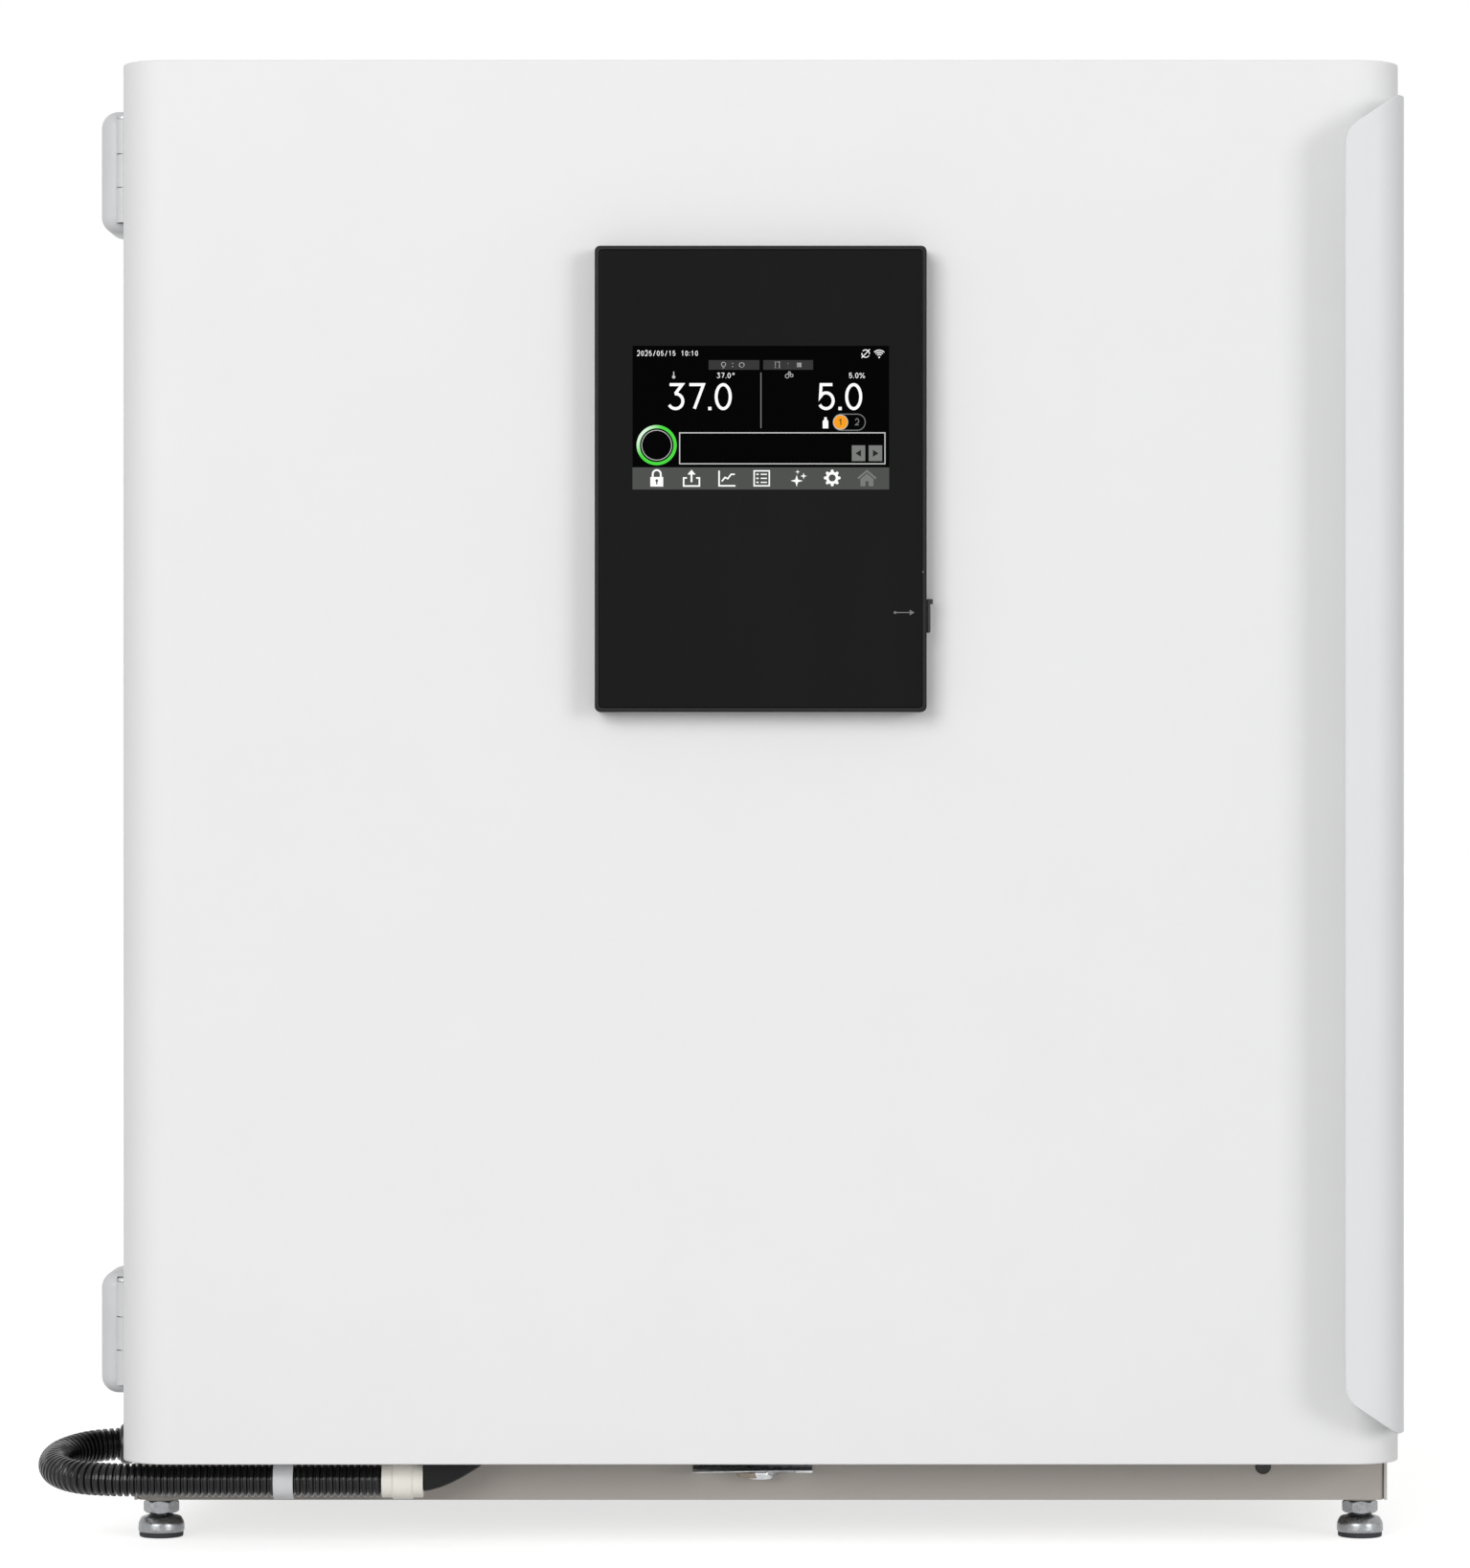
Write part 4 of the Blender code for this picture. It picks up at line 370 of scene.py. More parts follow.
@dataclass(frozen=True)
class PlatedMetal(Finish):
    """Zinc or brass: small crystal fields of slightly different tone, and fine turning marks."""

    crystal: float = 420.0
    metallic: float = 1.0

    def dress(self, work: Paintwork) -> None:
        """Crystal fields in tone and gloss, and a fine noise as a bump.

        Args:
            work: the material's nodes.
        """
        inputs = {"Vector": work.place(), "Scale": self.crystal}
        fields = work.add("ShaderNodeTexVoronoi", inputs=inputs, output="Color")
        shade = work.add("ShaderNodeSeparateColor", inputs={"Color": fields})
        worn = work.noise(scale=160.0, detail=3.0).step(low=0.5, high=0.8)
        work.show(Metallic=self.metallic, Base_Color=self.tone(work, shade, spread=0.12))
        work.show(Roughness=self.roughness + shade * 0.10 + worn * 0.10)
        work.relief(work.noise(scale=900.0), strength=0.12, distance=0.00006)


@dataclass(frozen=True)
class MouldedPlastic(Finish):
    """Injection-moulded plastic with a fine spark texture."""

    texture: float = 1400.0
    depth: float = 0.00006

    def dress(self, work: Paintwork) -> None:
        """A fine pebble bump and a slightly uneven gloss.

        Args:
            work: the material's nodes.
        """
        pebble = work.cells(self.texture)
        cloud = work.noise(scale=40.0, detail=3.0)
        work.show(Base_Color=self.tone(work, cloud, spread=0.05))
        work.show(Roughness=self.roughness + (cloud - 0.5) * 0.10)
        work.relief(pebble, strength=0.18, distance=self.depth)


@dataclass(frozen=True)
class PanelGlass(Finish):
    """Painted glass or gloss film: very smooth, with faint wiping marks in its gloss."""

    def dress(self, work: Paintwork) -> None:
        """Wiping marks as long soft streaks in the gloss.

        Args:
            work: the material's nodes.
        """
        marks = work.noise(scale=26.0, detail=4.0, stretch=(1.0, 1.0, 0.22)).step(low=0.35, high=0.8)
        work.show(Base_Color=self.tone(work, work.noise(scale=7.0, detail=2.0), spread=0.04))
        work.show(Roughness=self.roughness + marks * 0.07)


@dataclass(frozen=True)
class ClearGlass(Finish):
    """Tempered clear glass with a slight green cast and faint smears."""

    frost: float = 0.0

    def dress(self, work: Paintwork) -> None:
        """Transmission with smears in its gloss.

        Args:
            work: the material's nodes.
        """
        smear = work.noise(scale=11.0, detail=4.0, stretch=(1.0, 1.0, 0.4)).step(low=0.5, high=0.85)
        work.show(Transmission_Weight=1.0, IOR=1.5, Base_Color=self.tone(work, smear, spread=0.02))
        work.show(Roughness=self.roughness + self.frost + smear * 0.05)


@dataclass(frozen=True)
class Rubber(Finish):
    """Extruded or moulded silicone rubber: matt, with a dusty fine grain."""

    def dress(self, work: Paintwork) -> None:
        """A dusty tone and a fine grain.

        Args:
            work: the material's nodes.
        """
        dust = work.noise(scale=70.0, detail=5.0)
        work.show(Base_Color=self.tone(work, dust, spread=0.10))
        work.show(Roughness=self.roughness + (dust - 0.5) * 0.14)
        work.relief(work.noise(scale=1100.0, detail=3.0), strength=0.25, distance=0.00008)


@dataclass(frozen=True)
class CastFoam(Finish):
    """Cast insulating foam: small closed cells, with painted shade that darkens each cell's middle."""

    def dress(self, work: Paintwork) -> None:
        """Cells in tone, gloss and bump; the tone is painted shade, darker in each cell's middle.

        Args:
            work: the material's nodes.
        """
        pore = work.cells(scale=380.0)
        work.show(Base_Color=self.tone(work, pore, spread=0.16))
        work.show(Roughness=self.roughness - pore * 0.08)
        work.relief(pore, strength=0.6, distance=0.0005)


@dataclass(frozen=True)
class ScreenInk(Finish):
    """A lit colour of the screen, with the faint unevenness of its cells."""

    roughness: float = 0.3
    specular: float = 0.1
    light: float = 1.0

    def dress(self, work: Paintwork) -> None:
        """Light of the colour, a trace weaker between the cells.

        Args:
            work: the material's nodes.
        """
        grid = work.noise(scale=2600.0, detail=0.0) * 0.10
        glow = work.mixed(grid, self.colour, scaled(self.colour, factor=0.7))
        work.show(Base_Color=scaled(self.colour, factor=0.04), Emission_Color=glow)
        work.show(Roughness=self.roughness + grid, Emission_Strength=self.light)


@dataclass(frozen=True)
class RingInk(ScreenInk):
    """The status ring's ink, which fades from white at its upper left into its colour."""

    centre: tuple[float, float] = (0.0, 0.0)
    reach: float = 0.012

    def dress(self, work: Paintwork) -> None:
        """A fade along the diagonal through the ring's centre.

        Args:
            work: the material's nodes.
        """
        axes = work.add("ShaderNodeSeparateXYZ", inputs={"Vector": work.place()})
        up = Wire(work, axes.socket.node.outputs["Z"]) - self.centre[1]
        along = (up * 0.6 - (axes - self.centre[0]) * 0.8) / self.reach - 0.25
        glow = work.mixed(along.step(low=0.0, high=1.0), self.colour, (0.95, 1.0, 0.95))
        work.show(Base_Color=scaled(self.colour, factor=0.04), Emission_Color=glow)
        work.show(Emission_Strength=self.light, Roughness=self.roughness + work.noise(scale=900.0) * 0.05)


# The finishes: name, colour, roughness and specular level, and then the values of its own kind.
DOOR_WHITE = PowderCoat("door_powder_coat", srgb(236, 236, 236), 0.48, 0.15)
HANDLE_SILVER = PowderCoat("handle_satin_coat", srgb(226, 227, 229), 0.40, 0.20, 900.0)
CASE_GREY = PowderCoat("case_grey_coat", srgb(206, 204, 200), 0.46, 0.35, 520.0)
# Painted shade: the base pan's paint is set darker than the case's to darken it under the door's overhang.
BASE_GREY_PAINTED_SHADE = PowderCoat("base_coat_painted_shade", srgb(187, 181, 174), 0.55, 0.22, 420.0)
COVER_WHITE = MouldedPlastic("moulded_white", srgb(236, 236, 237), 0.34, 0.45)
# Painted shade: white plastic darkened for the hinges at the cabinet's side and the hose's band under the
# door.
HINGE_WHITE_PAINTED_SHADE = MouldedPlastic("hinge_white_painted_shade", srgb(214, 215, 217), 0.36, 0.30)
NYLON_WHITE = MouldedPlastic("nylon_white", srgb(240, 237, 227), 0.42, 0.45, 700.0, 0.00010)
HOUSING_BLACK = MouldedPlastic("housing_black", srgb(20, 20, 20), 0.38, 0.22, 1500.0, 0.00003)
SWITCH_BLACK = MouldedPlastic("switch_black", srgb(24, 24, 25), 0.30, 0.40)
CONDUIT_BLACK = MouldedPlastic("conduit_black", srgb(10, 10, 11), 0.20, 0.36, 500.0, 0.00001)
BOOT_BLACK = Rubber("boot_black", srgb(14, 14, 15), 0.42, 0.20)
GLASS_BLACK = PanelGlass("panel_black_glass", srgb(15, 15, 15), 0.16, 0.10)
SCREEN_BLACK = PanelGlass("screen_black", srgb(1, 1, 2), 0.10, 0.02)
# Painted light: the chamber's steel is set lighter than the liner's to brighten the chamber's dark inside.
CHAMBER_STEEL_PAINTED_LIGHT = BrushedSteel("chamber_steel_painted_light", (0.76, 0.76, 0.74), 0.30, 0.5, Grain.ALONG_Z)
LINER_STEEL = BrushedSteel("liner_steel", (0.68, 0.68, 0.67), 0.30, 0.5, Grain.ALONG_X)
# Painted light: the shelves' and pan's steel is set lighter than the liner's, like the chamber's, to brighten
# them inside the dark chamber.
TRAY_STEEL_PAINTED_LIGHT = BrushedSteel("tray_steel_painted_light", (0.76, 0.76, 0.74), 0.28, 0.5, Grain.ALONG_Y)
PROBE_STEEL = BrushedSteel("probe_steel", (0.66, 0.66, 0.65), 0.20, 0.5, Grain.ALONG_Y)
ZINC = PlatedMetal("zinc_plate", (0.56, 0.57, 0.58), 0.26)
FOOT_ZINC = PlatedMetal("foot_zinc", (0.29, 0.30, 0.31), 0.26, 0.5, 700.0)
BRASS = PlatedMetal("brass", (0.74, 0.56, 0.26), 0.24)
NUB_BROWN = PlatedMetal("nub_bronze", srgb(150, 138, 124), 0.42, 0.5, 500.0, 0.5)
PANE_GLASS = ClearGlass("clear_pane", (0.95, 0.985, 0.97), 0.02)
LAMP_GLASS = ClearGlass("lamp_frosted", (0.93, 0.94, 0.98), 0.06, 0.5, 0.25)
DOOR_SEAL = Rubber("door_seal_grey", srgb(146, 147, 149), 0.62, 0.35)
WHITE_SEAL = Rubber("seal_white", srgb(222, 222, 219), 0.58, 0.35)
SOLE_RUBBER = Rubber("sole_dark", srgb(52, 54, 58), 0.65, 0.30)
FOAM = CastFoam("insulating_foam", srgb(230, 224, 200), 0.85, 0.2)
INK_WHITE = ScreenInk("ink_white", (1.0, 1.0, 1.0))
INK_SOFT = ScreenInk("ink_soft_white", srgb(196, 198, 196))
INK_GREY = ScreenInk("ink_grey", srgb(118, 120, 118))
INK_BAR = ScreenInk("ink_bar", srgb(74, 76, 74))
INK_PILL = ScreenInk("ink_pill", srgb(46, 46, 47))
INK_DARK = ScreenInk("ink_dark", srgb(26, 26, 27))
INK_ORANGE = ScreenInk("ink_orange", srgb(244, 156, 18))


# Surfaces


@dataclass
class Surface:
    """Points and polygons worked out as arrays. Each entry of faces is an array of equal polygons."""

    points: np.ndarray
    faces: list[np.ndarray]

    def __add__(self, other: "Surface") -> "Surface":
        """Both surfaces as one."""
        renumbered = [polygon + len(self.points) for polygon in other.faces]
        return Surface(np.concatenate([self.points, other.points]), self.faces + renumbered)

    def moved(self, x: float, y: float = 0.0) -> "Surface":
        """A copy somewhere else."""
        return Surface(self.points + np.array([x, y, 0.0]), self.faces)

    def outward(self) -> "Surface":
        """The closed surface with its faces turned outwards.

        The signed volume is a sixth of the sum over the faces' fan triangles of a . (b x c); where
        it is negative every face is turned over.

        Returns:
            The surface itself.
        """
        volume = 0.0
        for polygon in self.faces:
            corner = self.points[polygon]
            cross = np.cross(corner[:, 1:-1], corner[:, 2:])
            volume += float((corner[:, :1] * cross).sum())
        if volume < 0:
            self.faces = [polygon[:, ::-1] for polygon in self.faces]
        return self

    def mesh(self, name: str, merge: float = 0.0) -> bpy.types.Object:
        """Make the surface a linked object.

        Args:
            name: the object's name.
            merge: the distance under which doubled points become one; 0 keeps them.

        Returns:
            The object, at the origin.
        """
        if not np.isfinite(self.points).all():
            raise ValueError(f"{name} has points that aren't numbers")
        data = bpy.data.meshes.new(name)
        polygons = [row for group in self.faces for row in group.tolist()]
        data.from_pydata(self.points.tolist(), [], polygons)
        if merge:
            bm = bmesh.new()
            bm.from_mesh(data)
            bmesh.ops.remove_doubles(bm, verts=bm.verts, dist=merge)
            bmesh.ops.dissolve_degenerate(bm, edges=bm.edges, dist=merge)
            bmesh.ops.recalc_face_normals(bm, faces=bm.faces)
            bm.to_mesh(data)
            bm.free()
        obj = bpy.data.objects.new(name, data)
        bpy.context.scene.collection.objects.link(obj)
        return obj


def quads(rows: int, columns: int, wrap_rows: bool = False, wrap_columns: bool = False) -> np.ndarray:
    """Corner numbers of the four-sided faces of a grid.

    Args:
        rows, columns: the grid's size in points.
        wrap_rows, wrap_columns: whether the last row or column meets the first.

    Returns:
        An array with one row of four point numbers for each face.
    """
    i = np.arange(rows if wrap_rows else rows - 1)
    j = np.arange(columns if wrap_columns else columns - 1)
    i, j = np.meshgrid(i, j, indexing="ij")
    below, beside = (i + 1) % rows, (j + 1) % columns
    corners = (i * columns + j, below * columns + j, below * columns + beside, i * columns + beside)
    return np.stack(corners, axis=-1).reshape(-1, 4)


def skin(rings: np.ndarray, loop: bool = False) -> Surface:
    """A closed surface through rings of points.

    Args:
        rings: an array (ring, point on the ring, 3).
        loop: whether the last ring meets the first; otherwise both ends are capped.

    Returns:
        The closed surface, facing outwards.
    """
    rows, columns = rings.shape[:2]
    faces = [quads(rows, columns, loop, True)]
    if not loop:
        ring = np.arange(columns)
        faces += [ring[None, :], ring[None, ::-1] + (rows - 1) * columns]
    return Surface(rings.reshape(-1, 3), faces).outward()


def sheet(outer: np.ndarray, inner: np.ndarray) -> Surface:
    """A closed sheet between two open grids of the same size, joined round their rims.

    Args:
        outer, inner: arrays (row, column, 3) of the two sides.

    Returns:
        The closed surface, facing outwards.
    """
    rows, columns = outer.shape[:2]
    count = rows * columns
    grid = quads(rows, columns)
    number = np.arange(count).reshape(rows, columns)
    rim = np.concatenate([number[0], number[1:, -1], number[-1, -2::-1], number[-2:0:-1, 0]])
    following = np.roll(rim, -1)
    sides = np.stack([rim, following, following + count, rim + count], axis=-1)
    points = np.concatenate([outer.reshape(-1, 3), inner.reshape(-1, 3)])
    return Surface(points, [grid, grid[:, ::-1] + count, sides]).outward()


def polar(centre: Sequence[float], radius: Union[float, np.ndarray], angle: np.ndarray) -> np.ndarray:
    """Points (u, v) round a centre at angles a in radians: centre + radius (cos a, sin a)."""
    return np.stack([centre[0] + radius * np.cos(angle), centre[1] + radius * np.sin(angle)], axis=-1)


def arc(centre: Sequence[float], radius: float, start: float, end: float, steps: int = 12) -> np.ndarray:
    """Points (u, v) on a circle between two angles in degrees, with both ends."""
    return polar(centre, radius, np.radians(np.linspace(start, end, steps + 1)))


def block(left: float, first: float, right: float, last: float) -> np.ndarray:
    """A rectangle's four corners, along its first level and back along its last one."""
    return np.array([(left, first), (right, first), (right, last), (left, last)], float)


def rounded(left: float, right: float, low: float, high: float, radius: float, steps: int = 8) -> np.ndarray:
    """A rectangle's outline with its corners as arcs, counter-clockwise.

    Args:
        left, right, low, high: its sides.
        radius: the radius of its corners.
        steps: edges on each corner.

    Returns:
        The outline's points, without doubled ones.
    """
    corners = [
        arc((right - radius, low + radius), radius, -90, 0, steps),
        arc((right - radius, high - radius), radius, 0, 90, steps),
        arc((left + radius, high - radius), radius, 90, 180, steps),
        arc((left + radius, low + radius), radius, 180, 270, steps),
    ]
    outline = np.concatenate(corners)
    return outline[np.linalg.norm(np.roll(outline, -1, 0) - outline, axis=1) > SAME_POINT]


def circle(centre: Sequence[float], radius: float, steps: int = 32) -> np.ndarray:
    """A round outline of the given number of points."""
    return arc(centre, radius, 0, 360 * (steps - 1) / steps, steps - 1)


def eased(points: Outline, ease: float, closed: bool = False, steps: int = 4) -> np.ndarray:
    """The polyline with each corner eased by a parabola.

    From a point A a short way before a corner C to a point D as far after it, the curve is
    (1 - s)^2 A + 2 s (1 - s) C + s^2 D.

    Args:
        points: the corners.
        ease: how far before and after a corner its curve starts and ends, at most 45% of an edge.
        closed: whether the last point meets the first.
        steps: points on each curve.

    Returns:
        The points of the eased line.
    """
    corner = np.asarray(points, float)
    back, ahead = np.roll(corner, 1, 0) - corner, np.roll(corner, -1, 0) - corner
    back_length = np.linalg.norm(back, axis=1, keepdims=True)
    ahead_length = np.linalg.norm(ahead, axis=1, keepdims=True)
    cut = np.minimum(ease, 0.45 * np.minimum(back_length, ahead_length))
    first, last = corner + back / back_length * cut, corner + ahead / ahead_length * cut
    s = np.linspace(0, 1, steps)[None, :, None]
    curve = (1 - s) ** 2 * first[:, None] + 2 * s * (1 - s) * corner[:, None] + s**2 * last[:, None]
    if closed:
        return curve.reshape(-1, corner.shape[1])
    middle = curve[1:-1].reshape(-1, corner.shape[1])
    return np.concatenate([corner[:1], middle, corner[-1:]])


def offset(line: np.ndarray, distance: float, closed: bool = True) -> np.ndarray:
    """The line moved to its left by a distance, which is inwards on a counter-clockwise outline.

    Each point moves along the mean of its two edges' normals, divided by the cosine of half the turn.

    Args:
        line: the points (u, v).
        distance: how far it moves; a negative one moves it to its right.
        closed: whether the last point meets the first.

    Returns:
        The moved points.
    """
    ahead, back = np.roll(line, -1, 0) - line, line - np.roll(line, 1, 0)
    if not closed:
        ahead[-1], back[0] = back[-1], ahead[0]
    ahead = ahead / np.linalg.norm(ahead, axis=1, keepdims=True)
    back = back / np.linalg.norm(back, axis=1, keepdims=True)
    mean = ahead + back
    mean = mean / np.linalg.norm(mean, axis=1, keepdims=True)
    cosine = np.maximum((mean * ahead).sum(1, keepdims=True), LEAST_COSINE)
    return line + np.stack([-mean[:, 1], mean[:, 0]], axis=-1) * distance / cosine


class Facing(Enum):
    """The axis that a flat shape faces, with the order that puts (u, v, level) into (x, y, z)."""

    Y = (0, 2, 1)
    Z = (0, 1, 2)


def slab(outline: np.ndarray, facing: Facing, low: float, high: float, edge: float = 0.0) -> Surface:
    """A plate between two levels with eased edges.

    For an angle a from 0 to 90 degrees the outline is drawn in by edge (1 - sin a) while its level is
    edge (1 - cos a) from the face.

    Args:
        outline: counter-clockwise points (u, v).
        facing: the axis that the plate faces.
        low, high: its two levels on that axis.
        edge: the radius of its edges; 0 leaves them sharp.

    Returns:
        The closed surface.
    """
    if edge:
        angle = np.radians([0, 30, 60, 90])
        inset, depth = edge * (1 - np.sin(angle)), edge * (1 - np.cos(angle))
        inset = np.concatenate([inset, inset[::-1]])
        levels = np.concatenate([low + depth, high - depth[::-1]])
    else:
        inset, levels = np.zeros(2), np.array([low, high])
    rings = [np.column_stack([offset(outline, i), np.full(len(outline), h)]) for i, h in zip(inset, levels)]
    return skin(np.stack(rings)[:, :, list(facing.value)])


def frame_of(direction: Sequence[float]) -> np.ndarray:
    """Three unit vectors at right angles, by cross products with an axis that isn't near the direction.

    Args:
        direction: the last of the three, of any length.

    Returns:
        The vectors as rows: two across the direction, and the direction itself.
    """
    along = np.asarray(direction, float) / np.linalg.norm(direction)
    across = np.cross(along, (0, 0, 1) if abs(along[2]) < 0.9 else (1, 0, 0))
    across = across / np.linalg.norm(across)
    return np.stack([across, np.cross(along, across), along])


def turned(profile: Outline, place: Sequence[float], direction: Sequence[float], steps: int = 48) -> Surface:
    """A turned solid: the point (radius, height) goes round as radius (cos t, sin t) at that height.

    Args:
        profile: (radius, height) from one end of the axis to the other, both ends on the axis, or a
            closed profile that stays off the axis.
        place: the height 0 on the axis.
        direction: the axis.
        steps: points round the axis.

    Returns:
        The closed surface.
    """
    line = np.asarray(profile, float)
    across, up, along = frame_of(direction)
    angle = np.linspace(0, 2 * math.pi, steps, endpoint=False)
    spokes = np.cos(angle)[:, None] * across + np.sin(angle)[:, None] * up
    rings = line[:, None, :1] * spokes[None] + line[:, None, 1:] * along + np.asarray(place, float)
    return skin(rings, loop=bool(line[0, 0] > ON_AXIS))


def ribbon(line: Outline, width: float, front: float, rear: float, closed: bool = False) -> Surface:
    """A stroke on an upright plane: a flat rectangle carried along a line.

    Args:
        line: the stroke's middle as points (x, z).
        width: its width.
        front, rear: its two levels in y.
        closed: whether the last point meets the first.

    Returns:
        The closed surface.
    """
    path = np.asarray(line, float)
    left, right = offset(path, width / 2, closed), offset(path, -width / 2, closed)
    corners = [(left, front), (right, front), (right, rear), (left, rear)]
    rings = [np.column_stack([side[:, 0], np.full(len(side), level), side[:, 1]]) for side, level in corners]
    return skin(np.stack(rings, axis=1), loop=closed)


def joined(surfaces: Sequence[Surface]) -> Surface:
    """Several surfaces as one."""
    return sum(surfaces[1:], surfaces[0])


# Pieces


BODY_OF = {node: body_of(obj)[0] for node, obj in frame["nodes"].items()}
SLOT_OF = {row["node"]: row["material_slot"] for row in frame["record"]["subparts"]}


def shaded(obj: bpy.types.Object, angle: float, bevel: float) -> None:
    """Smooth an object's round faces, and ease its sharper edges with a live bevel.

    Args:
        obj: the object.
        angle: the angle in degrees above which an edge stays sharp.
        bevel: the width of the eased edge; 0 adds none.
    """
    obj.data.shade_smooth()
    obj.data.set_sharp_from_angle(angle=math.radians(angle))
    if bevel:
        modifier = obj.modifiers.new("eased_edges", "BEVEL")
        modifier.width = bevel
        modifier.segments = EDGE_SEGMENTS
        modifier.limit_method = "ANGLE"
        modifier.angle_limit = math.radians(angle)
        modifier.harden_normals = True


def finished(
    obj: bpy.types.Object,
    finish: Finish,
    body: str,
    stands_for: Sequence[str] = (),
    slot: str = "",
    bevel: float = 0.0,
    angle: float = 32.0,
) -> bpy.types.Object:
    """Give an object its finish and edges, and let it ride on a body.

    Args:
        obj: the object.
        finish: its finish.
        body: the body that carries it.
        stands_for: the model's nodes that it stands for.
        slot: a material slot, worked out from the first of those nodes if it isn't given; the result is not
            used.
        bevel: the width of its eased edges.
        angle: the angle in degrees above which an edge is sharp.

    Returns:
        The same object.
    """
    obj.data.materials.append(finish.material())
    shaded(obj, angle, bevel)
    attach(obj, body)
    if stands_for:
        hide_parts(*stands_for)
    slot = slot or (SLOT_OF[stands_for[0]] if stands_for else "")
    LOG.info("piece %s on %s: %d points", obj.name, body, len(obj.data.vertices))
    return obj


def piece(
    name: str,
    surface: Surface,
    finish: Finish,
    body: str,
    stands_for: Sequence[str] = (),
    slot: str = "",
    bevel: float = 0.0,
    angle: float = 32.0,
    merge: float = 0.0,
) -> bpy.types.Object:
    """A surface as a finished piece; merge is the distance under which doubled points become one."""
    return finished(surface.mesh(name, merge), finish, body, stands_for, slot, bevel, angle)


def eased_copy(node: str, finish: Finish, bevel: float, angle: float = 28.0) -> bpy.types.Object:
    """A welded copy of a node with flat faces joined, eased edges and smooth round faces.

    Args:
        node: the model's node.
        finish: its finish.
        bevel: the width of the eased edges.
        angle: the angle in degrees above which an edge is sharp.

    Returns:
        The copy, which stands for the node.
    """
    data = bpy.data.meshes.new(node + "_eased")
    bm = bmesh.new()
    bm.from_mesh(frame["nodes"][node].data)
    bmesh.ops.remove_doubles(bm, verts=bm.verts, dist=WELD_DISTANCE)
    bmesh.ops.dissolve_limit(bm, angle_limit=math.radians(FLAT_DEGREES), verts=bm.verts, edges=bm.edges)
    bm.to_mesh(data)
    bm.free()
    obj = bpy.data.objects.new(node + "_eased", data)
    bpy.context.scene.collection.objects.link(obj)
    return finished(obj, finish, BODY_OF[node], [node], bevel=bevel, angle=angle)


def carve(obj: bpy.types.Object, low: Sequence[float], high: Sequence[float]) -> None:
    """Cut a block out of an object and keep the result as its mesh.

    Args:
        obj: the object.
        low, high: the block's lowest and highest corners, with x measured from the cabinet's middle.
    """
    outline = block(low[0], low[1], high[0], high[1])
    cutter = slab(outline, Facing.Z, low[2], high[2]).moved(SHIFT).mesh("cutter")
    modifier = obj.modifiers.new("cut", "BOOLEAN")
    modifier.operation = "DIFFERENCE"
    modifier.solver = "EXACT"
    modifier.object = cutter
    bpy.context.view_layer.update()
    graph = bpy.context.evaluated_depsgraph_get()
    data = bpy.data.meshes.new_from_object(obj.evaluated_get(graph))
    obj.modifiers.clear()
    obj.data = data
    obj.data.materials.clear()
    bpy.data.objects.remove(cutter)


def screw_head(place: Sequence[float], direction: Sequence[float], radius: float = 0.0035) -> Surface:
    """A domed screw head: its height falls as the square of its radius, round a small conical recess.

    Args:
        place: the middle of its seat.
        direction: the way that it faces.
        radius: its radius.

    Returns:
        The closed surface.
    """
    share = np.linspace(0, 1, 7)
    dome = np.column_stack([radius * share, 0.45 * radius * (1 - share**2) + 0.12 * radius])
    recess = [(0, 0.05 * radius), (0.30 * radius, 0.30 * radius)]
    profile = np.concatenate([recess, dome[3:], [(radius, 0), (0, -0.0005)]])
    return turned(profile, place, direction, 20)


